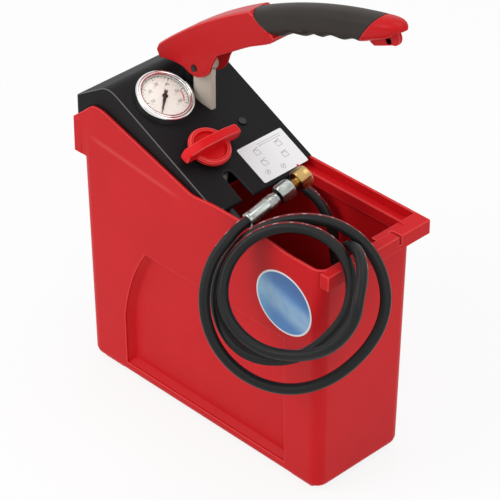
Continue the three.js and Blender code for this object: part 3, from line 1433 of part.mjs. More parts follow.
place(freeEnd, 'end_nipple', cut(join([
  upright(0, 0, nippleStart, nutEnd - nutLip, threadRadius - gap),
  upright(0, 0, nippleStart, nippleEnd - gap, neckRadius, coarse),
  upright(0, 0, nutEnd + nippleNeck, nippleEnd, nippleRadius, hexSides),
]), [upright(0, 0, 0, nippleEnd + overrun, nippleBore, coarse)]), brass);

// Return tube: from the side arm of the body, under the hood and down into the tank
const returnLine = new THREE.CatmullRomCurve3([
  [213.7, 30, -2], [205, 30, -2.2], [192, 29, -4.5], [178, 27, -9], [164, 25, -14], [149, 24, -22],
  [138, 23, -36], [133, 23, -54], [132, 24, -74],
].map((place) => at(...place)));
place(pump, 'return_tube', tube(returnLine, returnRadius, returnSteps, returnSides), rubber);

export default pump;
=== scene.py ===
"""Looks of a hydrostatic test pump: tank, hood, gauge, valve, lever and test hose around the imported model."""

import json
import math

import bmesh
import bpy
from bpy.props import FloatProperty, FloatVectorProperty, IntProperty, PointerProperty
from mathutils import Matrix, Vector


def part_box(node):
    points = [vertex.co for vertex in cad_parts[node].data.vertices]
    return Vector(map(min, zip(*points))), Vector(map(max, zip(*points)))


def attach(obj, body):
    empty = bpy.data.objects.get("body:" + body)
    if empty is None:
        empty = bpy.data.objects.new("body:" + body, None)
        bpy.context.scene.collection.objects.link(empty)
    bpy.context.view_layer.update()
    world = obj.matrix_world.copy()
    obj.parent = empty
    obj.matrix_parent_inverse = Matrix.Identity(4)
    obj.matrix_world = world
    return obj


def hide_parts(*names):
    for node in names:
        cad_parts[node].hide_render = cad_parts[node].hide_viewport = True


bl_info = {
    "name": "Hydrostatic test pump",
    "version": (1, 0, 0),
    "blender": (4, 5, 0),
    "location": "3D Viewport > Sidebar > Test pump",
    "description": "Builds the pieces and finishes of a hydrostatic test pump around its frame",
    "category": "Object",
}

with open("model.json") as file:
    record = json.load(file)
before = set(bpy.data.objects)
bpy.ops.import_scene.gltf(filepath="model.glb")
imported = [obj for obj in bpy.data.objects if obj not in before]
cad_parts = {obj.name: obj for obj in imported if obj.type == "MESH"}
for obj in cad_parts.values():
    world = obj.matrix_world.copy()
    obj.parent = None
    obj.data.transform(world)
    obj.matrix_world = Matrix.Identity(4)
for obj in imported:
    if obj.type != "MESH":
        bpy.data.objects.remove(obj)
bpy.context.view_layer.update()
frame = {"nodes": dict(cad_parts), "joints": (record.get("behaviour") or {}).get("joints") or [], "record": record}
TANK_LOW, TANK_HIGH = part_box("tank")
JOINTS = {joint["name"]: joint for joint in frame["joints"]}
MM = 0.001
RIM = 0.300
CLEARANCE = 0.0003
# The near wall leans in by 4.3 mm over the 296 mm between the rim and the feet
WALL_DRAFT = 4.3 / 296


# Places in the pump

def from_front(setback, inset, rise):
    """A point measured from the front flange, the near wall and the rim."""
    return Vector((TANK_HIGH.x - setback, TANK_LOW.y + inset, RIM + rise))


def heading(bearing, lift):
    """A direction from its compass angle and its angle above the level."""
    level = math.cos(math.radians(lift))
    turn = math.radians(bearing)
    return Vector((math.cos(turn) * level, math.sin(turn) * level, math.sin(math.radians(lift))))


def placed(place, right, up, out):
    """A frame at a place, from its directions."""
    return Matrix.Translation(place) @ Matrix((right, up, out)).transposed().to_4x4()


def aimed(place, direction):
    """A frame at a place with +Z along a direction."""
    return Matrix.Translation(place) @ direction.to_track_quat("Z", "Y").to_matrix().to_4x4()


def panel_frame(name):
    """The frame of a joint on the sloping panel: +Z square to it, +X down the slope."""
    joint = JOINTS[name]
    up = Vector(joint["axis"]).normalized()
    if up.z < 0:
        up.negate()
    down = Vector((up.z, 0, -up.x))
    return placed(Vector(joint["pos_m"]), down, up.cross(down), up)


def circle(count):
    """Angles evenly spaced round a circle."""
    return [i / count * math.tau for i in range(count)]


def polar(radius, angle, height):
    """A point at a radius, an angle and a height about +Z."""
    return Vector((radius * math.cos(angle), radius * math.sin(angle), height))


# Mesh helpers

EASE_ANGLE = math.radians(38)
EASE_ROOM = 2.2
EASE_STEPS = 3
FLAT_ANGLE = math.radians(0.4)
MERGE_REACH = MM / 100
SHARP_ANGLE = 32


def linked(name, data):
    """A new object for a mesh, a text, a lamp or the camera, in the scene."""
    data.name = name
    piece = bpy.data.objects.new(name, data)
    bpy.context.scene.collection.objects.link(piece)
    return piece


def mesh_of(build):
    """A mesh that a bmesh function fills."""
    mesh = bpy.data.meshes.new("mesh")
    work = bmesh.new()
    build(work)
    bmesh.ops.recalc_face_normals(work, faces=work.faces)
    work.to_mesh(mesh)
    work.free()
    return mesh


def smooth(piece, angle):
    """Smooth shading with sharp edges above an angle in degrees."""
    mesh = piece.data
    mesh.shade_smooth()
    mesh.set_sharp_from_angle(angle=math.radians(angle))
    return piece


def has_room(edge, width):
    """Whether the faces beside an edge are wide enough to ease it."""
    return min(face.calc_area() for face in edge.link_faces) > EASE_ROOM * width * edge.calc_length()


def ease_edges(work, width):
    """Rounds the outer edges and marks the new faces."""
    mark = work.faces.layers.float.new("edge")
    edges = [edge for edge in work.edges if edge.is_manifold and edge.is_convex
             and edge.calc_face_angle() > EASE_ANGLE and has_room(edge, width)]
    eased = bmesh.ops.bevel(work, geom=edges, offset=width, offset_type="OFFSET", segments=EASE_STEPS,
                            profile=0.5, affect="EDGES", clamp_overlap=False)
    for face in eased["faces"]:
        face[mark] = 1.0


def dressed(node, name, body, slot, ease=0.0, angle=SHARP_ANGLE, added=None):
    """A smooth copy of a CAD node, with eased edges and any added piece, that stands for it."""
    mesh = bpy.data.objects[node].data.copy()
    if added:
        mesh = united(mesh, added)
    work = bmesh.new()
    work.from_mesh(mesh)
    bmesh.ops.remove_doubles(work, verts=work.verts, dist=MERGE_REACH)
    bmesh.ops.dissolve_limit(work, angle_limit=FLAT_ANGLE, verts=work.verts, edges=work.edges)
    bmesh.ops.recalc_face_normals(work, faces=work.faces)
    if ease:
        ease_edges(work, ease)
    work.to_mesh(mesh)
    work.free()
    if "custom_normal" in mesh.attributes:
        mesh.attributes.remove(mesh.attributes["custom_normal"])
    piece = stand_in(node, name, mesh, body, slot, angle)
    flats = piece.modifiers.new("flat faces", "WEIGHTED_NORMAL")
    flats.keep_sharp = True


def stand_in(node, name, mesh, body, slot, angle, material=None):
    """A smooth piece that stands for a CAD node, in its slot's material if none is given."""
    piece = smooth(linked(name, mesh), angle)
    belongs(piece, body, material or finish_for(slot))
    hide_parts(node)
    return piece


def print_on(name, mesh, material):
    """A thin piece of print on the part that stands still."""
    belongs(linked(name, mesh), "base", material)


def belongs(piece, body, material):
    """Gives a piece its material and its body."""
    finished(piece, material)
    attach(piece, body)


def finished(piece, material):
    """One material on the whole piece."""
    piece.data.materials.clear()
    piece.data.materials.append(material)


def settled(carrier):
    """The final mesh of an object, which is used up."""
    bpy.context.view_layer.update()
    mesh = bpy.data.meshes.new_from_object(carrier.evaluated_get(bpy.context.evaluated_depsgraph_get()))
    bpy.data.objects.remove(carrier)
    return mesh


def united(mesh, piece):
    """The mesh joined with a piece, which is used up."""
    carrier = linked("carrier", mesh)
    union = carrier.modifiers.new("union", "BOOLEAN")
    union.operation = "UNION"
    union.solver = "EXACT"
    union.object = piece
    whole = settled(carrier)
    bpy.data.objects.remove(piece)
    return whole


def skin(work, rings, closed=False):
    """Faces over rings of points, with flat ends, or with the last ring joined to the first if closed."""
    rows = [[work.verts.new(point) for point in ring] for ring in rings]
    following = rows[1:] + rows[:1] if closed else rows[1:]
    for first, second in zip(rows, following):
        for i in range(len(first)):
            j = (i + 1) % len(first)
            work.faces.new((first[i], first[j], second[j], second[i]))
    if not closed:
        work.faces.new(rows[0][::-1])
        work.faces.new(rows[-1])


def rings_mesh(rings, closed=False):
    """A mesh over rings of points."""
    return mesh_of(lambda work: skin(work, rings, closed))


def turned_rings(profile, sides, place, reach=lambda angle: math.inf):
    """Rings about +Z of a frame from (radius, height) pairs; reach can limit the radius at an angle."""
    return [[place @ polar(min(radius, reach(angle)), angle, height) for angle in circle(sides)]
            for radius, height in profile]


def hexagon(apothem):
    """Reach of a hexagon from its centre at an angle."""
    side = math.tau / 6

    def reach(angle):
        return apothem / math.cos((angle + side / 2) % side - side / 2)
    return reach


# Lines

def hermite(start, end, leave, arrive, share):
    """A point between two, on a curve that leaves and arrives at given rates."""
    return ((2 * start - 2 * end + leave + arrive) * share ** 3
            + (3 * end - 3 * start - 2 * leave - arrive) * share ** 2 + leave * share + start)


def smooth_line(points, per_step):
    """A centripetal curve through points."""
    line = []
    led = [2 * points[0] - points[1], *points, 2 * points[-1] - points[-2]]
    for before, start, end, after in zip(led, led[1:], led[2:], led[3:]):
        rear, middle, front = (math.sqrt((b - a).length) for a, b in
                               ((before, start), (start, end), (end, after)))
        leave = (start - before) / rear - (end - before) / (rear + middle) + (end - start) / middle
        arrive = (end - start) / middle - (after - start) / (middle + front) + (after - end) / front
        line += [hermite(start, end, leave * middle, arrive * middle, k / per_step) for k in range(per_step)]
    line.append(points[-1].copy())
    return line


def distances(line):
    """Distance of each point from the start of a line."""
    runs = [0.0]
    for a, b in zip(line, line[1:]):
        runs.append(runs[-1] + (b - a).length)
    return runs


def evenly(line, spacing):
    """Points along a line at an even spacing, ends kept, and its length."""
    runs = distances(line)
    count = max(2, round(runs[-1] / spacing))
    even = []
    k = 0
    for i in range(count + 1):
        target = runs[-1] * i / count
        while k + 2 < len(runs) and runs[k + 1] < target:
            k += 1
        even.append(line[k].lerp(line[k + 1], (target - runs[k]) / (runs[k + 1] - runs[k])))
    return even, runs[-1]


def tube_piece(name, line, radius, sides, outward):
    """A mesh tube with attributes for the distance along it and the cosine around it."""
    rings = []
    for before, point, after in zip(line[:1] + line[:-1], line, line[1:] + line[-1:]):
        ahead = (after - before).normalized()
        out = outward(point)
        out = (out - ahead * out.dot(ahead)).normalized()
        side = ahead.cross(out)
        rings.append([point + (out * math.cos(angle) + side * math.sin(angle)) * radius
                      for angle in circle(sides)])
    piece = linked(name, rings_mesh(rings))
    layers = {"along": [run for run in distances(line) for angle in circle(sides)],
              "around": [math.cos(angle) for point in line for angle in circle(sides)]}
    for layer, values in layers.items():
        piece.data.attributes.new(layer, "FLOAT", "POINT").data.foreach_set("value", values)
    return smooth(piece, angle=60)


# Shader maths

class Nodes:
    """The nodes of a material or a world."""

    def __init__(self, tree):
        self.tree = tree

    def connect(self, value, socket):
        if isinstance(value, Value):
            self.tree.links.new(value.socket, socket)
        else:
            socket.default_value = value

    def node(self, kind, settings=None, output=0, **inputs):
        """Any node: its settings first, then the values or links of its sockets, by name or as _number."""
        node = self.tree.nodes.new(kind)
        for key, value in (settings or {}).items():
            setattr(node, key, value)
        for key, value in inputs.items():
            socket = int(key[1:]) if key[0] == "_" else key.replace("_", " ")
            self.connect(value, node.inputs[socket])
        return Value(self.tree, node.outputs[output])


class Value(Nodes):
    """A socket that takes part in expressions."""

    def __init__(self, tree, socket):
        super().__init__(tree)
        self.socket = socket

    def maths(self, operation, *terms):
        sockets = {f"_{place}": term for place, term in enumerate(terms)}
        return self.node("ShaderNodeMath", {"operation": operation}, **sockets)

    def __add__(self, other):
        return self.maths("ADD", self, other)

    def __radd__(self, other):
        return self.maths("ADD", other, self)

    def __sub__(self, other):
        return self.maths("SUBTRACT", self, other)

    def __rsub__(self, other):
        return self.maths("SUBTRACT", other, self)

    def __mul__(self, other):
        return self.maths("MULTIPLY", self, other)

    def __rmul__(self, other):
        return self.maths("MULTIPLY", other, self)

    def wave(self):
        return self.maths("SINE", self)

    def size(self):
        return self.maths("ABSOLUTE", self)

    def larger(self, other):
        return self.maths("MAXIMUM", self, other)

    def step(self, low, high):
        """0 below low, 1 above high, smooth between them."""
        return self.node("ShaderNodeMapRange", {"interpolation_type": "SMOOTHSTEP"}, output="Result",
                         Value=self, From_Min=low, From_Max=high)

    def within(self, start, risen, falling, end):
        """1 from risen to falling, 0 before start and after end, smooth between them."""
        return self.step(start, risen) * (1.0 - self.step(falling, end))


NOISE_ROUGHNESS = 0.55
WEAR_SCALE = 35.0
PIT_DEPTH = 0.12 * MM


class Finish(Nodes):
    """One material: a shader and the nodes that vary its sockets over the surface."""

    def __init__(self, name, colour, roughness, **sockets):
        self.material = bpy.data.materials.new(name)
        self.material.use_nodes = True
        super().__init__(self.material.node_tree)
        self.shader = self.tree.nodes["Principled BSDF"]
        self.set("Base Color", (*linear(colour), 1.0))
        self.set("Roughness", roughness)
        for socket, value in sockets.items():
            self.set(socket.replace("_", " "), value)

    def set(self, socket, value):
        self.connect(value, self.shader.inputs[socket])
        return self

    def place(self):
        return self.node("ShaderNodeTexCoord", output="Object")

    def along(self, axis):
        """Distance along an axis of the pump."""
        return self.node("ShaderNodeSeparateXYZ", output=axis, Vector=self.place())

    def attribute(self, name):
        return self.node("ShaderNodeAttribute", {"attribute_name": name}, output="Fac")

    def noise(self, scale, detail=3.0):
        return self.node("ShaderNodeTexNoise", Vector=self.place(), Scale=scale, Detail=detail,
                         Roughness=NOISE_ROUGHNESS)

    def tint(self, share, colour):
        """The base colour moved towards another one by a share; sockets 6, 7 and output 2 are the colours."""
        base = self.shader.inputs["Base Color"]
        current = Value(self.tree, base.links[0].from_socket) if base.is_linked else tuple(base.default_value)
        mixed = self.node("ShaderNodeMix", {"data_type": "RGBA"}, output=2, Factor=share, _6=current,
                          _7=(*linear(colour), 1.0))
        return self.set("Base Color", mixed)

    def mottle(self, colour, scale, level, share, detail=3.0):
        """Patches of another colour where a noise is above a level."""
        return self.tint((self.noise(scale, detail) - level) * share, colour)

    def rub(self, colour, share, where=1.0):
        """Painted highlight on the eased edges, where is a further share that can vary over the piece."""
        # painted highlight: the eased faces tinted lighter
        return self.tint(self.attribute("edge") * share * where, colour)

    def relief(self, height, distance, strength=1.0):
        """A bump from a height, added to any bump before it."""
        normal = self.shader.inputs["Normal"]
        before = {"Normal": Value(self.tree, normal.links[0].from_socket)} if normal.is_linked else {}
        bump = self.node("ShaderNodeBump", Height=height, Distance=distance, Strength=strength, **before)
        return self.set("Normal", bump)

    def pits(self, scale):
        """Small pits all over, as of a textured mould."""
        cells = self.node("ShaderNodeTexVoronoi", output="Distance", Vector=self.place(), Scale=scale)
        return self.relief(cells, PIT_DEPTH, strength=0.4)

    def wear(self, amount):
        """Roughness that drifts slowly over the surface."""
        middle = self.shader.inputs["Roughness"].default_value
        return self.set("Roughness", self.noise(WEAR_SCALE, detail=4.0) * amount + (middle - amount / 2))


def linear(colour):
    """Screen colour to scene colour."""
    return [part / 12.92 if part <= 0.04045 else ((part + 0.055) / 1.055) ** 2.4 for part in colour]


def tone(red, green, blue):
    return (red / 255, green / 255, blue / 255)


def deeper(colour, share):
    return [part * share for part in colour]


# Finishes

# Where the painted crease highlight starts, is full, fades and ends along X, and its height where X is 0
CREASE_HIGHLIGHT_RUN = (-0.180, -0.160, -0.060, -0.020)
CREASE_HIGHLIGHT_HEIGHT = 0.2891
CREASE_HIGHLIGHT_FALL = 0.1017
CREASE_HIGHLIGHT_WIDTH = 0.005
# Where the painted crease highlight ends behind the near wall, and the painted edge highlight behind the hood's
# near ridge
NEAR_WALL_END = (-0.072, -0.070)
NEAR_RIDGE_END = (-0.066, -0.060)
# Cosines round the hose between which its red and its white line begin
RED_LINE = (0.960, 0.975)
WHITE_LINE = (0.982, 0.990)
DASH_RATE = 420.0
WRAP_RATE = 2600.0
WRAP_LEAN = 6.0
# Distances from the middle of the sticker where its colours change
DEEP_BLUE = (0.004, 0.030)
PALE_BAND = (-0.026, -0.006, 0.002, 0.020)
REAR_BLUE = (0.010, 0.038)


def moulded_plastic(name, colour, roughness, grain, drift):
    """Moulded plastic: fine grain, slow colour drift and faint flow marks."""
    finish = Finish(name, colour, roughness, Specular_IOR_Level=0.12)
    finish.wear(0.10)
    finish.mottle(deeper(colour, 0.72), scale=9.0, level=0.35, share=drift)
    finish.relief(finish.noise(scale=1500.0, detail=2.0), distance=grain)
    finish.relief(finish.noise(scale=60.0, detail=2.0), distance=grain * 1.5)
    return finish


def tank_red():
    """Red plastic with a soft painted highlight along a crease line under the rim of the near wall, and painted
    highlights on its eased edges.
    """
    finish = moulded_plastic("tank red", tone(203, 24, 30), roughness=0.40, grain=0.02 * MM, drift=0.45)
    # painted highlight: a soft pale band along a crease line under the rim of the near wall
    run = finish.along("X")
    off = (finish.along("Z") + run * CREASE_HIGHLIGHT_FALL - CREASE_HIGHLIGHT_HEIGHT).size()
    near = 1.0 - finish.along("Y").step(*NEAR_WALL_END)
    crease_highlight = (1.0 - off.step(0.0, CREASE_HIGHLIGHT_WIDTH)) * run.within(*CREASE_HIGHLIGHT_RUN) * near
    finish.tint(crease_highlight * 0.30, tone(228, 96, 96))
    # painted highlight on the eased edges
    return finish.rub(tone(238, 84, 84), 0.6).material


def lever_red():
    finish = moulded_plastic("lever red", tone(192, 22, 27), roughness=0.36, grain=0.02 * MM, drift=0.4)
    # painted highlight on the eased edges
    return finish.rub(tone(236, 88, 86), 0.5).material


def knob_red():
    finish = moulded_plastic("knob red", tone(224, 26, 32), roughness=0.36, grain=0.015 * MM, drift=0.25)
    # painted highlight on the eased edges
    return finish.rub(tone(248, 112, 110), 0.5).material


def hood_black():
    """Black plastic with fine pits and painted highlights on its eased edges, strongest along its near ridge."""
    finish = Finish("hood black", tone(20, 18, 20), roughness=0.56, Specular_IOR_Level=0.13)
    finish.wear(0.12)
    finish.mottle(tone(12, 11, 13), scale=14.0, level=0.4, share=0.5)
    finish.pits(scale=900.0)
    # painted highlight on the eased edges: full along the near ridge, 0.15 of that behind it
    near = 1.0 - finish.along("Y").step(*NEAR_RIDGE_END)
    return finish.rub(tone(120, 118, 116), 0.7, near * 0.85 + 0.15).material


def grip_rubber():
    finish = Finish("grip rubber", tone(46, 40, 37), roughness=0.5, Specular_IOR_Level=0.2)
    finish.wear(0.12)
    finish.mottle(tone(32, 27, 26), scale=20.0, detail=4.0, level=0.42, share=0.7)
    finish.pits(scale=700.0)
    return finish.material


def cast_grey():
    finish = Finish("cast body", tone(198, 190, 176), roughness=0.55, Specular_IOR_Level=0.3)
    finish.wear(0.15)
    finish.mottle(tone(150, 140, 124), scale=45.0, detail=5.0, level=0.45, share=0.8)
    finish.relief(finish.noise(scale=420.0, detail=4.0), distance=0.12 * MM, strength=0.6)
    return finish.material


def machined(name, colour, roughness, ring_scale, haze=0.7):
    """Turned or ground metal: tool marks that are twelve times finer along Z, and handling haze."""
    finish = Finish(name, colour, roughness, Metallic=1.0)
    finish.wear(0.16)
    finish.mottle(deeper(colour, 0.7), scale=70.0, detail=4.0, level=0.5, share=haze)
    stretched = finish.node("ShaderNodeMapping", _0=finish.place(),
                            Scale=(ring_scale, ring_scale, ring_scale * 12))
    finish.relief(finish.node("ShaderNodeTexNoise", Vector=stretched, Scale=12.0), 0.03 * MM, strength=0.5)
    return finish.material


def bright_steel():
    return machined("bright steel", tone(204, 206, 208), roughness=0.24, ring_scale=3.0)


def polished_steel():
    return machined("polished steel", tone(226, 226, 224), roughness=0.12, ring_scale=2.0)


def dark_steel():
    return machined("dark steel", tone(58, 58, 60), roughness=0.50, ring_scale=3.0)


def zinc_plate():
    return machined("zinc plate", tone(160, 164, 160), roughness=0.30, ring_scale=5.0)


def brass():
    return machined("brass", tone(190, 158, 100), roughness=0.30, ring_scale=4.0, haze=0.35)


def hose_rubber():
    """Rubber hose cover: wrap marks all round and a thin red and white line along one side."""
    finish = Finish("hose rubber", tone(25, 26, 26), roughness=0.40, Specular_IOR_Level=0.20)
    finish.mottle(tone(18, 19, 19), scale=30.0, detail=4.0, level=0.4, share=0.6)
    along = finish.attribute("along")
    around = finish.attribute("around")
    finish.tint(around.step(*RED_LINE) * 0.75, tone(150, 34, 40))
    worn = finish.noise(scale=260.0, detail=2.0).step(0.44, 0.56)
    dashes = (along * DASH_RATE).wave().step(0.15, 0.35) * worn
    finish.tint(around.step(*WHITE_LINE) * dashes * 0.85, tone(206, 190, 186))
    wraps = along * WRAP_RATE
    lean = around * WRAP_LEAN
    finish.relief((wraps + lean).wave() * (wraps - lean).wave(), distance=0.16 * MM, strength=0.45)
    finish.relief(finish.noise(scale=700.0), distance=0.08 * MM, strength=0.4)
    return finish.material


def plain_rubber():
    finish = Finish("plain rubber", tone(34, 34, 35), roughness=0.6, Specular_IOR_Level=0.3)
    finish.wear(0.12)
    finish.relief(finish.noise(scale=500.0), distance=0.06 * MM, strength=0.5)
    return finish.material


def dial_white():
    finish = Finish("dial white", tone(252, 249, 240), roughness=0.45)
    return finish.mottle(tone(234, 230, 220), scale=60.0, level=0.45, share=0.3).material


def ink(name, colour):
    return Finish(name, colour, roughness=0.5).wear(0.08).material


def lens_glass():
    return Finish("lens glass", (1.0, 1.0, 1.0), roughness=0.04, IOR=1.45, Transmission_Weight=1.0,
                  Alpha=0.22).material


def nylon():
    finish = Finish("nylon", tone(222, 219, 208), roughness=0.5)
    finish.wear(0.1)
    finish.relief(finish.noise(scale=400.0, detail=2.0), distance=0.05 * MM, strength=0.4)
    return finish.material


def label_white():
    finish = Finish("label white", tone(236, 236, 237), roughness=0.38, Coat_Weight=0.2)
    return finish.mottle(tone(214, 214, 216), scale=25.0, level=0.5, share=0.25).material


def sticker_blue():
    """Blue oval: deep at the top, paler in a slanting band, clear blue at the bottom."""
    finish = Finish("sticker blue", tone(52, 128, 200), roughness=0.32, Coat_Weight=0.2)
    run = finish.along("X") - STICKER_CENTRE.x
    slant = finish.along("Z") - STICKER_CENTRE.z + run * 0.25
    finish.tint(slant.step(*DEEP_BLUE) * 0.8, tone(46, 92, 150))
    cloud = finish.noise(scale=26.0).step(0.3, 0.7) * 0.4 + 0.35
    finish.tint(slant.within(*PALE_BAND) * cloud, tone(170, 208, 228))
    finish.tint((0.0 - run).step(*REAR_BLUE) * 0.35, tone(120, 196, 226))
    return finish.material


FINISHES = {
    "tank_red": tank_red, "hood_black": hood_black, "lever_red": lever_red, "knob_red": knob_red,
    "grip_dark": grip_rubber, "cast_grey": cast_grey, "steel": bright_steel, "dark_steel": dark_steel,
    "brass": brass, "zinc": zinc_plate, "rubber": plain_rubber, "dial_white": dial_white,
    "lens_glass": lens_glass, "pointer_black": lambda: ink("pointer black", tone(22, 22, 24)), "nylon": nylon,
}
made = {}


def finish_for(slot):
    """The material of a record slot, made once."""
    if slot not in made:
        made[slot] = FINISHES[slot]()
    return made[slot]


# Sizes and colours that a user may change

class StageSettings(bpy.types.PropertyGroup):
    floor_colour: FloatVectorProperty(
        name="Floor colour", description="Colour of the floor and the backdrop", subtype="COLOR", size=3,
        default=(0.97, 0.97, 0.97), min=0.0, max=1.0)
    floor_whiteness: FloatProperty(
        name="Floor whiteness", description="Share of plain white in what is seen of the floor", default=0.85,
        min=0.0, max=1.0)
    key_power: FloatProperty(
        name="Key light", description="Power of the main lamp in watts", default=25.0, min=0.0)
    fill_power: FloatProperty(
        name="Fill light", description="Power of the side and top lamps in watts", default=11.0, min=0.0)
    world_level: FloatProperty(
        name="World level", description="Strength of the even light", default=0.60, min=0.0)


class HoseSettings(bpy.types.PropertyGroup):
    diameter: FloatProperty(
        name="Hose diameter", description="Outside diameter of the hose", default=0.0123, unit="LENGTH")
    sides: IntProperty(name="Hose sides", description="Points around the hose", default=24, min=8)
    spacing: FloatProperty(
        name="Ring spacing", description="Distance between rings along the hose", default=0.004,
        unit="LENGTH")


class GaugeSettings(bpy.types.PropertyGroup):
    largest: IntProperty(name="Largest number", description="Last number on the dial", default=60, min=1)
    numbers: IntProperty(
        name="Numbered steps", description="Numbered steps on the dial", default=6, min=1)
    red_from: FloatProperty(
        name="Red band from", description="Start of the red band in degrees", default=226.0)
    red_to: FloatProperty(name="Red band to", description="End of the red band in degrees", default=266.0)


class StickerSettings(bpy.types.PropertyGroup):
    width: FloatProperty(
        name="Oval width", description="Longer width of the oval", default=0.082, unit="LENGTH")
    height: FloatProperty(name="Oval height", description="Height of the oval", default=0.077, unit="LENGTH")


# Stage

VIEW_OUT = heading(-44.41, 34.55)
VIEW_RIGHT = heading(45.59, 0.0)
CAMERA_PLACE = Vector((1.7729, -1.7389, 1.9136))
CAMERA_LENS = 196.6
NEAREST_SEEN = 0.05
FARTHEST_SEEN = 50.0
FLOOR_REACH = 6.0
LAMP_AIM = Vector((0.0, 0.0, 0.28))
# Place and width of each lamp
KEY_LAMP = ((-0.9, -1.9, 1.9), 1.4)
FILL_LAMP = ((2.0, -0.6, 1.6), 1.6)
TOP_LAMP = ((0.1, 0.5, 2.4), 1.2)


def make_camera():
    data = bpy.data.cameras.new("camera")
    data.lens = CAMERA_LENS
    data.clip_start = NEAREST_SEEN
    data.clip_end = FARTHEST_SEEN
    camera = linked("camera", data)
    camera.matrix_world = placed(CAMERA_PLACE, VIEW_RIGHT, VIEW_OUT.cross(VIEW_RIGHT), VIEW_OUT)
    bpy.context.scene.camera = camera


def make_lamp(name, power, place, width):
    data = bpy.data.lights.new(name, "AREA")
    data.energy = power
    data.size = width
    lamp = linked(name, data)
    lamp.matrix_world = aimed(Vector(place), Vector(place) - LAMP_AIM)


def seen_directly(nodes):
    """1 for what the camera, mirror-like surfaces and glass see, 0 for the light on the pump."""
    camera, glossy, through = (nodes.node("ShaderNodeLightPath", output=name) for name in
                               ("Is Camera Ray", "Is Glossy Ray", "Is Transmission Ray"))
    return camera.larger(glossy).larger(through)


def stage_finish(colour, whiteness):
    """Pale floor that keeps a faint shadow on a white background."""
    finish = Finish("floor", colour, roughness=0.9, Specular_IOR_Level=0.0)
    surface = finish.node("ShaderNodeMixShader", _0=seen_directly(finish) * whiteness,
                          _1=Value(finish.tree, finish.shader.outputs[0]),
                          _2=finish.node("ShaderNodeEmission"))
    finish.connect(surface, finish.tree.nodes["Material Output"].inputs["Surface"])
    return finish.material


def studio_world(level):
    """Even light that is plain white where it is seen directly."""
    world = bpy.data.worlds.new("studio")
    world.use_nodes = True
    nodes = Nodes(world.node_tree)
    background = world.node_tree.nodes["Background"]
    nodes.connect(seen_directly(nodes) * (1.0 - level) + level, background.inputs["Strength"])
    background.inputs["Color"].default_value = (1.0, 1.0, 1.0, 1.0)
    return world


def floor_plane(work):
    corners = ((-1, -1), (1, -1), (1, 1), (-1, 1))
    work.faces.new([work.verts.new((x * FLOOR_REACH, y * FLOOR_REACH, 0.0)) for x, y in corners])


class PUMP_OT_stage(bpy.types.Operator):
    """Camera, floor, backdrop, lamps and world"""
    bl_idname = "pump.stage"
    bl_label = "Stage"

    def execute(self, context):
        settings = context.scene.pump_stage
        context.scene.view_settings.view_transform = "Standard"
        make_camera()
        floor = linked("floor", mesh_of(floor_plane))
        finished(floor, stage_finish(settings.floor_colour, settings.floor_whiteness))
        context.scene.world = studio_world(settings.world_level)
        make_lamp("key lamp", settings.key_power, *KEY_LAMP)
        make_lamp("fill lamp", settings.fill_power, *FILL_LAMP)
        make_lamp("top lamp", settings.fill_power, *TOP_LAMP)
        return {"FINISHED"}


# Test hose

OUTLET = from_front(0.264, 0.0955, -0.029)
OUTLET_HEADING = heading(11.0, 9.5)
OUTLET_REACH = 0.0536
LEAD_ROUTE = [
    (0.168, 0.116, -0.012), (0.146, 0.119, -0.015), (0.126, 0.121, -0.027), (0.113, 0.122, -0.048),
    (0.107, 0.121, -0.074), (0.096, 0.116, -0.099), (0.077, 0.105, -0.116), (0.055, 0.090, -0.118),
    (0.036, 0.076, -0.104), (0.028, 0.066, -0.079), (0.030, 0.060, -0.053), (0.034, 0.054, -0.027),
    (0.027, 0.047, -0.003), (0.009, 0.041, 0.016), (-0.014, 0.030, 0.023), (-0.035, 0.013, 0.017),
]
# Reach from the middle of the loops, and rise towards the viewer, at eight places in each turn
LOOP_STATIONS = [
    (0.068, 0.093), (0.063, 0.073), (0.057, 0.038), (0.061, 0.020), (0.070, 0.014), (0.075, 0.018),
    (0.076, 0.036), (0.072, 0.053), (0.061, 0.054), (0.054, 0.037), (0.061, 0.015), (0.074, -0.002),
    (0.078, -0.012), (0.079, 0.004), (0.084, 0.023), (0.095, 0.038), (0.099, 0.031), (0.093, 0.011),
    (0.094, -0.003), (0.092, -0.010), (0.090, 0.005), (0.091, 0.014),
]
STATIONS_PER_TURN = 8
LOOP_STEPS = 24
LOOP_CENTRE = from_front(0.055, 0.0, -0.055)
LOOP_AXIS = heading(-44.4, 34.5)
LOOP_SIDE = heading(45.6, 0.0)
LOOP_TOP = LOOP_AXIS.cross(LOOP_SIDE)
# Degrees that the line is turned towards the viewer at the top, and that it loses on the way down
LINE_TURN = 35
LINE_DROP = 60
SLEEVE_START = from_front(0.117, -0.002, 0.016)
SLEEVE_HEADING = heading(86.0, 16.3)
RETURN_ROUTE = [
    (0.2137, 0.030, -0.002), (0.205, 0.030, -0.0022), (0.192, 0.029, -0.0045), (0.178, 0.027, -0.009),
    (0.164, 0.025, -0.014), (0.149, 0.024, -0.022), (0.138, 0.023, -0.036), (0.133, 0.023, -0.054),
    (0.132, 0.024, -0.074),
]
RETURN_DIAMETER = 0.0092
RETURN_SIDE = Vector((0, 1, 0.2))
CURVE_STEPS = 12


def station_at(share):
    """Reach and rise of the loops at a share of their turns."""
    last = len(LOOP_STATIONS) - 1
    first = min(int(last * share), last)
    weight = last * share - first
    a, b, c, d = (LOOP_STATIONS[min(max(pick, 0), last)] for pick in range(first - 1, first + 3))
    return [hermite(b[part], c[part], (c[part] - a[part]) / 2, (d[part] - b[part]) / 2, weight)
            for part in range(2)]


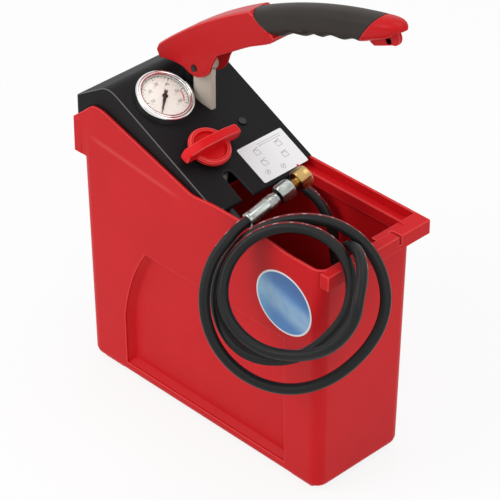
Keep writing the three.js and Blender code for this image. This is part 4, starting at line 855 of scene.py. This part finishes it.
def loop_points():
    """Points of the loops, from the far end of the lead to the sleeve."""
    points = []
    steps = (len(LOOP_STATIONS) - 1) * LOOP_STEPS // STATIONS_PER_TURN
    for i in range(steps + 1):
        reach, rise = station_at(i / steps)
        angle = -i / LOOP_STEPS * math.tau
        points.append(LOOP_CENTRE + LOOP_SIDE * (reach * math.cos(angle))
                      + LOOP_TOP * (reach * math.sin(angle)) + LOOP_AXIS * rise)
    return points


def hose_points(diameter):
    """Points of the whole hose, from the outlet under the deck to the sleeve."""
    start = OUTLET + OUTLET_HEADING * OUTLET_REACH
    return [start, start + OUTLET_HEADING * diameter, *(from_front(*spot) for spot in LEAD_ROUTE),
            *loop_points(), SLEEVE_START - SLEEVE_HEADING * diameter,
            SLEEVE_START - SLEEVE_HEADING * CLEARANCE]


def away_from_loops(point):
    """Side of the hose that carries the line: outside on the upper arcs, turning to the back below."""
    flat = point - LOOP_CENTRE
    flat -= LOOP_AXIS * flat.dot(LOOP_AXIS)
    flat.normalize()
    turn = math.radians(LINE_TURN - LINE_DROP * (1 - flat.dot(LOOP_TOP)))
    return flat * math.cos(turn) + LOOP_AXIS * math.sin(turn)


# Fittings of the hose, with heights measured along them from the end of the hose

FITTING_SIDES = 72
SLEEVE_SIDES = 64
SLEEVE_RADIUS = 0.0085
SLEEVE_FLATS = 8
PRESSED_FROM = 0.005
PRESSED_TO = 0.0275
PRESSED_SHARE = 0.045
# Heights along the sleeve and shares of its radius
SLEEVE_PROFILE = [
    (0.0, 0.88), (0.0006, 0.95), (0.002, 0.99), (0.0045, 1.0), (0.006, 0.965), (0.0075, 0.955),
    (0.026, 0.955), (0.0275, 0.99), (0.029, 1.0), (0.0305, 0.965), (0.032, 0.955), (0.0372, 0.965),
    (0.0380, 0.93), (0.0386, 0.82), (0.0418, 0.80),
]
THREAD_START = 0.0645
THREAD_PITCH = 0.0011
THREAD_TURNS = 5


def crimped_sleeve(place):
    """Sleeve with pressed flats and rings at its ends."""
    def spot(angle, height, share):
        pressed = PRESSED_SHARE if PRESSED_FROM < height < PRESSED_TO else 0.0
        dent = 1.0 - pressed * max(0.0, math.cos(angle * SLEEVE_FLATS)) ** 2
        return place @ polar(SLEEVE_RADIUS * share * dent, angle, height)
    return rings_mesh([[spot(angle, height, share) for angle in circle(SLEEVE_SIDES)]
                       for height, share in SLEEVE_PROFILE])


def union_nut(place):
    """Hexagon nut with turned-down ends and an open mouth."""
    start, end, apothem, corner = 0.0445, 0.0624, 0.0100, 0.0115
    mouth, neck = 0.0070, 0.0049
    outside = [(0.0080, start), (0.0096, start + 0.0004), (corner, start + 0.0030), (corner, end - 0.0022),
               (0.0098, end)]
    inside = [(mouth, end), (mouth, start + 0.0032), (neck, start + 0.0030), (neck, start)]
    return rings_mesh(turned_rings(outside, FITTING_SIDES, place, hexagon(apothem))
                      + turned_rings(inside, FITTING_SIDES, place), closed=True)


def brass_nipple(place):
    """Threaded neck and hexagon head with turned faces and a bore."""
    start, shoulder, head_start, head_end = 0.0512, 0.0590, 0.0713, 0.0862
    flange, neck, root, crest, corner, bore = 0.0066, 0.0046, 0.0045, 0.0052, 0.0125, 0.0031
    outline = [(flange, start), (flange, shoulder), (neck, shoulder + 0.0006), (neck, THREAD_START - 0.0005)]
    for i in range(THREAD_TURNS):
        outline += [(crest, THREAD_START + THREAD_PITCH * i), (root, THREAD_START + THREAD_PITCH * (i + 0.5))]
    outline += [(root, head_start - 0.0001), (0.0105, head_start), (corner, head_start + 0.0016),
                (corner, head_end - 0.0018), (0.0102, head_end), (0.0088, head_end),
                (0.0084, head_end - 0.0008), (neck, head_end - 0.0008), (bore, head_end - 0.0020),
                (bore, start + 0.0008), (root, start)]
    return rings_mesh(turned_rings(outline, FITTING_SIDES, place, hexagon(0.0109)), closed=True)


class PUMP_OT_hose(bpy.types.Operator):
    """Test hose with its fittings, and the return tube"""
    bl_idname = "pump.hose"
    bl_label = "Hose and fittings"

    def execute(self, context):
        settings = context.scene.pump_hose
        place = aimed(SLEEVE_START, SLEEVE_HEADING)
        sleeve = stand_in("hose_ferrule", "crimp_sleeve", crimped_sleeve(place), "base", "zinc", angle=50)
        nut = stand_in("swivel_nut", "union_nut", union_nut(place), "swivel", "zinc", angle=25)
        nipple = stand_in("end_nipple", "brass_nipple", brass_nipple(place), "swivel", "brass", angle=25)

        route = smooth_line(hose_points(settings.diameter), CURVE_STEPS)
        line, length = evenly(route, settings.spacing)
        hose = tube_piece("test_hose", line, settings.diameter / 2, settings.sides, away_from_loops)
        belongs(hose, "base", hose_rubber())
        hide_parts("hose_lead", "hose_coil")

        route = smooth_line([from_front(*spot) for spot in RETURN_ROUTE], CURVE_STEPS)
        path, run = evenly(route, settings.spacing / 2)
        tube = tube_piece("return_hose", path, RETURN_DIAMETER / 2, settings.sides, lambda point: RETURN_SIDE)
        belongs(tube, "base", finish_for("rubber"))
        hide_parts("return_tube")
        return {"FINISHED"}


# Moulded pieces

FLANGE_REAR = -0.2030
FLANGE_FRONT = -0.1742
FLANGE_DEPTH = 0.0140
FLANGE_END = [(FLANGE_REAR, 0.2770), (FLANGE_FRONT, 0.2770), (FLANGE_FRONT, RIM), (FLANGE_FRONT, 0.3448),
              (FLANGE_REAR, 0.3216), (FLANGE_REAR, RIM)]


def flange_end():
    """Block that carries the near wall to the end of the rear flange."""
    def build(work):
        near, far = [], []
        for x, z in FLANGE_END:
            wall = TANK_LOW.y + CLEARANCE / 6 + WALL_DRAFT * max(0.0, RIM - z)
            near.append(work.verts.new((x, wall, z)))
            far.append(work.verts.new((x, TANK_LOW.y + FLANGE_DEPTH, z)))
        for corners in ((0, 1, 2, 5), (5, 2, 3, 4)):
            work.faces.new([near[i] for i in corners])
            work.faces.new([far[i] for i in reversed(corners)])
        for i in range(len(near)):
            j = (i + 1) % len(near)
            work.faces.new((near[i], far[i], far[j], near[j]))
    return linked("flange end", mesh_of(build))


class PUMP_OT_tank(bpy.types.Operator):
    """Red tank with its rim, rail and feet"""
    bl_idname = "pump.tank"
    bl_label = "Tank"

    def execute(self, context):
        dressed("tank", "water_tank", "base", "tank_red", ease=0.0009, added=flange_end())
        return {"FINISHED"}


class PUMP_OT_hood(bpy.types.Operator):
    """Black hood over the pump"""
    bl_idname = "pump.hood"
    bl_label = "Hood"

    def execute(self, context):
        dressed("pump_cover", "pump_hood", "base", "hood_black", ease=0.0009)
        return {"FINISHED"}


class PUMP_OT_lever(bpy.types.Operator):
    """Red lever arm and its dark grip"""
    bl_idname = "pump.lever"
    bl_label = "Lever"

    def execute(self, context):
        dressed("lever_arm", "lever_body", "lever", "lever_red", ease=0.0008, angle=38)
        dressed("lever_grip", "grip_sleeve", "lever", "grip_dark", angle=50)
        return {"FINISHED"}


class PUMP_OT_mechanism(bpy.types.Operator):
    """Cast body and knob"""
    bl_idname = "pump.mechanism"
    bl_label = "Body and knob"

    def execute(self, context):
        dressed("pump_body", "cast_body", "base", "cast_grey", ease=0.0006)
        dressed("relief_knob", "valve_knob", "knob", "knob_red", ease=0.0008)
        return {"FINISHED"}


# Gauge

DIAL_RADIUS = 0.0286
DIAL_TOP = 0.0072
MARK_LIFT = 0.00012
SWEEP = 270.0
ZERO = -48.0
MARKS_PER_NUMBER = 5
MARK_OUTER_SHARE = 0.92
ARC_OUTER_SHARE = 0.94
# Share of the dial's radius where a mark starts, and half its width in degrees
LONG_MARK = (0.78, 0.9)
SHORT_MARK = (0.84, 0.45)
BAND_SHARES = (0.725, 0.775)
BAND_STEPS = 24
ARC_STEPS = 90
NUMBER_SHARE = 0.60
NUMBER_SIZE = 0.0055
NUMBER_TURN = 87
RING_SIDES = 96
# Radii and heights of the rolled ring in millimetres
RING_PROFILE = [
    (30.8, 0.4), (34.0, 0.4), (34.0, 7.4), (33.8, 8.9), (33.2, 10.1), (32.4, 10.8), (31.5, 11.0),
    (30.9, 10.7), (30.5, 10.2), (30.1, 10.2), (29.7, 10.7), (29.2, 10.9), (28.6, 10.8), (28.1, 10.45),
    (27.7, 10.42), (27.7, 10.3), (29.4, 10.3), (30.8, 6.6),
]
# Half the outline of the needle in millimetres, from its tail
NEEDLE_HALF = [(-8.6, 1.9), (-6.0, 2.1), (-3.0, 1.1), (0.0, 1.0), (5.0, 1.9), (8.5, 1.5), (22.8, 0.35)]
NEEDLE_TIP = (23.2, 0.0)
NEEDLE_HEIGHTS = (7.5, 8.2)
HUB_PROFILE = [(3.3, 7.6), (3.3, 8.3), (2.9, 8.6), (2.0, 8.7)]
HUB_SIDES = 32


def gauge_ring(place):
    """Polished rolled bezel with a groove and a slope down to the glass."""
    profile = [(radius * MM, height * MM) for radius, height in RING_PROFILE]
    return rings_mesh(turned_rings(profile, RING_SIDES, place), closed=True)


def needle(place):
    """Pointer blade with a widened tail and a domed hub."""
    turn = place @ Matrix.Rotation(math.radians(ZERO), 4, "Z")
    outline = [(x, -y) for x, y in NEEDLE_HALF] + [NEEDLE_TIP] + NEEDLE_HALF[::-1]
    hub = [(radius * MM, height * MM) for radius, height in HUB_PROFILE]

    def build(work):
        skin(work, [[turn @ (Vector((x, y, height)) * MM) for x, y in outline] for height in NEEDLE_HEIGHTS])
        skin(work, turned_rings(hub, HUB_SIDES, place))
    return mesh_of(build)


def dial_strip(work, place, shares, start, end, steps):
    """A flat ring piece on the dial between two shares of its radius and two angles."""
    inner, outer = (DIAL_RADIUS * share for share in shares)
    top = DIAL_TOP + MARK_LIFT
    section = [(inner, DIAL_TOP), (outer, DIAL_TOP), (outer, top), (inner, top)]
    angles = [math.radians(start + (end - start) * i / steps) for i in range(steps + 1)]
    skin(work, [[place @ polar(radius, angle, height) for radius, height in section] for angle in angles])


def dial_marks(place, numbers):
    """Long and short marks with an arc along their outer ends."""
    marks = numbers * MARKS_PER_NUMBER

    def build(work):
        for i in range(marks + 1):
            middle = ZERO - SWEEP * i / marks
            inner, half = SHORT_MARK if i % MARKS_PER_NUMBER else LONG_MARK
            dial_strip(work, place, (inner, MARK_OUTER_SHARE), middle - half, middle + half, 1)
        dial_strip(work, place, (MARK_OUTER_SHARE, ARC_OUTER_SHARE), ZERO - SWEEP, ZERO, ARC_STEPS)
    return mesh_of(build)


def dial_number(place, angle, number):
    """A number as a thin flat mesh, centred at an angle on the dial."""
    text = bpy.data.curves.new("number", "FONT")
    text.body = str(number)
    text.size = NUMBER_SIZE
    text.align_x = "CENTER"
    text.align_y = "CENTER"
    text.extrude = MARK_LIFT / 2
    mesh = settled(linked("number text", text))
    spot = polar(DIAL_RADIUS * NUMBER_SHARE, math.radians(angle), DIAL_TOP + MARK_LIFT / 2)
    mesh.transform(place @ Matrix.Translation(spot) @ Matrix.Rotation(math.radians(NUMBER_TURN), 4, "Z"))
    return mesh


class PUMP_OT_gauge(bpy.types.Operator):
    """Gauge ring and needle, and the dial's marks, numbers and red band"""
    bl_idname = "pump.gauge"
    bl_label = "Gauge"

    def execute(self, context):
        settings = context.scene.pump_gauge
        place = panel_frame("pointer_turn")
        stand_in("gauge_bezel", "gauge_ring", gauge_ring(place), "base", "steel", 40, polished_steel())
        stand_in("gauge_pointer", "gauge_needle", needle(place), "pointer", "pointer_black", angle=30)
        marks = dial_marks(place, settings.numbers)
        print_on("dial_marks", marks, ink("dial ink", tone(30, 30, 34)))
        band = mesh_of(lambda work: dial_strip(work, place, BAND_SHARES, ZERO - settings.red_to,
                                               ZERO - settings.red_from, BAND_STEPS))
        print_on("dial_band", band, ink("dial red", tone(214, 44, 52)))
        number_ink = ink("number ink", tone(28, 28, 32))
        for i in range(settings.numbers + 1):
            number = settings.largest * i // settings.numbers
            mesh = dial_number(place, ZERO - SWEEP * i / settings.numbers, number)
            print_on(f"dial_number_{i}", mesh, number_ink)
        return {"FINISHED"}


# Label

LABEL_REAR = 0.218
LABEL_FRONT = 0.1735
LABEL_NEAR = 0.080
LABEL_FAR = 0.147
LABEL_THICK = 0.0003
LABEL_CORNER = 0.002
CORNER_STEPS = 5
SHEET_GAP = 0.00002
LINE_WIDTH = 0.00035
LINE_LIFT = 0.00006
DRAWING_SIDES = 28
# Places on the label as shares of its length and its width
LEVER_DRAWINGS = [(-0.24, -0.20, 0.0), (0.06, -0.22, 0.5), (-0.20, 0.26, 1.0), (0.10, 0.22, 1.5)]
DIAL_DRAWINGS = [(0.34, 0.02), (0.30, -0.30)]
RULED_LINES = [-0.40, -0.345]


def flat_stroke(work, place, first, last, width=LINE_WIDTH):
    """A thin bar between two points of a frame."""
    first, last = Vector((*first, 0)), Vector((*last, 0))
    side = (last - first).normalized().cross(Vector((0, 0, 1))) * (width / 2)
    corners = [first + side, last + side, last - side, first - side]
    skin(work, [[place @ (corner + Vector((0, 0, lift))) for corner in corners] for lift in (0, LINE_LIFT)])


def flat_ring(work, place, centre, radius):
    """A thin flat ring in a frame."""
    inner = radius - LINE_WIDTH
    section = [(radius, 0), (radius, LINE_LIFT), (inner, LINE_LIFT), (inner, 0)]
    middle = Vector((*centre, 0))
    skin(work, [[place @ (middle + polar(reach, angle, lift)) for reach, lift in section]
                for angle in circle(DRAWING_SIDES)], closed=True)


def lever_sketch(work, place, centre, turn):
    """Outline of a tank with a lever above it."""
    corners = [(-0.0030, -0.0034), (0.0036, -0.0034), (0.0036, 0.0034), (-0.0012, 0.0034)]
    spots = [(centre[0] + x, centre[1] + y) for x, y in corners]
    for first, last in zip(spots, spots[1:] + spots[:1]):
        flat_stroke(work, place, first, last)
    tip = (centre[0] - 0.0050 + 0.0008 * turn, centre[1] + 0.0040)
    flat_stroke(work, place, spots[0], tip, LINE_WIDTH * 1.6)


def dial_sketch(work, place, centre):
    """Ring with a hand and a centre ring."""
    for radius in (0.0031, 0.0009):
        flat_ring(work, place, centre, radius)
    flat_stroke(work, place, centre, (centre[0] - 0.0018, centre[1] + 0.0016))


def label_frame():
    """The middle of the label, +X down the sloping panel, and the level run of each unit down it."""
    base = panel_frame("knob_turn")
    knob = base.translation
    slope = base.col[0].x
    setback = (LABEL_REAR + LABEL_FRONT) / 2
    run = (TANK_HIGH.x - setback - knob.x) / slope
    across = TANK_LOW.y + (LABEL_NEAR + LABEL_FAR) / 2 - knob.y
    return base @ Matrix.Translation((run, across, 0.0)), slope


def label_plate(work, place, long, wide):
    """Thin plate with round corners."""
    ring = []
    for quarter, (sx, sy) in enumerate(((1, 1), (-1, 1), (-1, -1), (1, -1))):
        for i in range(CORNER_STEPS + 1):
            angle = (quarter + i / CORNER_STEPS) * math.pi / 2
            ring.append((sx * (long / 2 - LABEL_CORNER) + LABEL_CORNER * math.cos(angle),
                         sy * (wide / 2 - LABEL_CORNER) + LABEL_CORNER * math.sin(angle)))
    skin(work, [[place @ Vector((x, y, height)) for x, y in ring] for height in (SHEET_GAP, LABEL_THICK)])


def label_drawings(work, place, long, wide):
    """Plain line drawings: four levers, two dials and two ruled lines."""
    for down, far, turn in LEVER_DRAWINGS:
        lever_sketch(work, place, (long * down, wide * far), turn)
    for down, far in DIAL_DRAWINGS:
        dial_sketch(work, place, (long * down, wide * far))
    for down in RULED_LINES:
        flat_stroke(work, place, (long * down, -wide * 0.1), (long * down, wide * 0.4))


class PUMP_OT_label(bpy.types.Operator):
    """White plate on the hood with plain line drawings"""
    bl_idname = "pump.label"
    bl_label = "Label"

    def execute(self, context):
        place, slope = label_frame()
        long = (LABEL_REAR - LABEL_FRONT) / slope
        wide = LABEL_FAR - LABEL_NEAR
        plate = mesh_of(lambda work: label_plate(work, place, long, wide))
        print_on("label_plate", plate, label_white())
        top = place @ Matrix.Translation((0, 0, LABEL_THICK))
        drawings = mesh_of(lambda work: label_drawings(work, top, long, wide))
        print_on("label_drawings", drawings, ink("label ink", tone(96, 98, 102)))
        return {"FINISHED"}


# Oval sticker

STICKER_CENTRE = from_front(0.065, 0.0, -0.065)
STICKER_GAP = 0.00003
STICKER_THICK = 0.0003
STICKER_RIM = 0.0022
PRINT_LIFT = 0.00006
OVAL_SIDES = 72


def oval(width, height, low, high):
    """A flat oval that follows the near wall, between two distances from it."""
    def point(angle, lift):
        x = width / 2 * math.cos(angle)
        z = height / 2 * math.sin(angle)
        lean = WALL_DRAFT * (RIM - STICKER_CENTRE.z - z)
        return STICKER_CENTRE + Vector((x, lean - lift, z))
    return rings_mesh([[point(angle, lift) for angle in circle(OVAL_SIDES)] for lift in (low, high)])


class PUMP_OT_sticker(bpy.types.Operator):
    """Bare blue oval with a white rim on the near wall"""
    bl_idname = "pump.sticker"
    bl_label = "Oval sticker"

    def execute(self, context):
        settings = context.scene.pump_sticker
        width, height = settings.width, settings.height
        rim = oval(width, height, STICKER_GAP, STICKER_THICK)
        print_on("sticker_rim", rim, label_white())
        face = oval(width - 2 * STICKER_RIM, height - 2 * STICKER_RIM, STICKER_THICK,
                    STICKER_THICK + PRINT_LIFT)
        print_on("sticker_face", face, sticker_blue())
        return {"FINISHED"}


class PUMP_OT_finishes(bpy.types.Operator):
    """Materials of the CAD nodes that stay"""
    bl_idname = "pump.finishes"
    bl_label = "Finishes"

    def execute(self, context):
        slots = {part["node"]: part["material_slot"] for part in frame["record"]["subparts"]}
        for name, node in frame["nodes"].items():
            finished(node, finish_for(slots[name]))
        return {"FINISHED"}


class PUMP_PT_panel(bpy.types.Panel):
    """Builders and settings of the pump"""
    bl_label = "Test pump"
    bl_idname = "PUMP_PT_panel"
    bl_space_type = "VIEW_3D"
    bl_region_type = "UI"
    bl_category = "Test pump"

    def draw(self, context):
        for group, fields in SETTINGS.items():
            column = self.layout.column(align=True)
            for field in fields.__annotations__:
                column.prop(getattr(context.scene, group), field)
        for step in STEPS:
            self.layout.operator(step.bl_idname)


SETTINGS = {"pump_stage": StageSettings, "pump_hose": HoseSettings, "pump_gauge": GaugeSettings,
            "pump_sticker": StickerSettings}
STEPS = (PUMP_OT_stage, PUMP_OT_hose, PUMP_OT_finishes, PUMP_OT_tank, PUMP_OT_hood, PUMP_OT_lever,
         PUMP_OT_mechanism, PUMP_OT_gauge, PUMP_OT_label, PUMP_OT_sticker)
CLASSES = (*SETTINGS.values(), *STEPS, PUMP_PT_panel)


def register():
    for item in CLASSES:
        bpy.utils.register_class(item)
    for name, group in SETTINGS.items():
        setattr(bpy.types.Scene, name, PointerProperty(type=group))


def unregister():
    for name in SETTINGS:
        delattr(bpy.types.Scene, name)
    for item in reversed(CLASSES):
        bpy.utils.unregister_class(item)


def main():
    register()
    bpy.ops.pump.stage()
    bpy.ops.pump.hose()
    bpy.ops.pump.finishes()
    bpy.ops.pump.tank()
    bpy.ops.pump.hood()
    bpy.ops.pump.lever()
    bpy.ops.pump.mechanism()
    bpy.ops.pump.gauge()
    bpy.ops.pump.label()
    bpy.ops.pump.sticker()


if __name__ == "__main__":
    main()
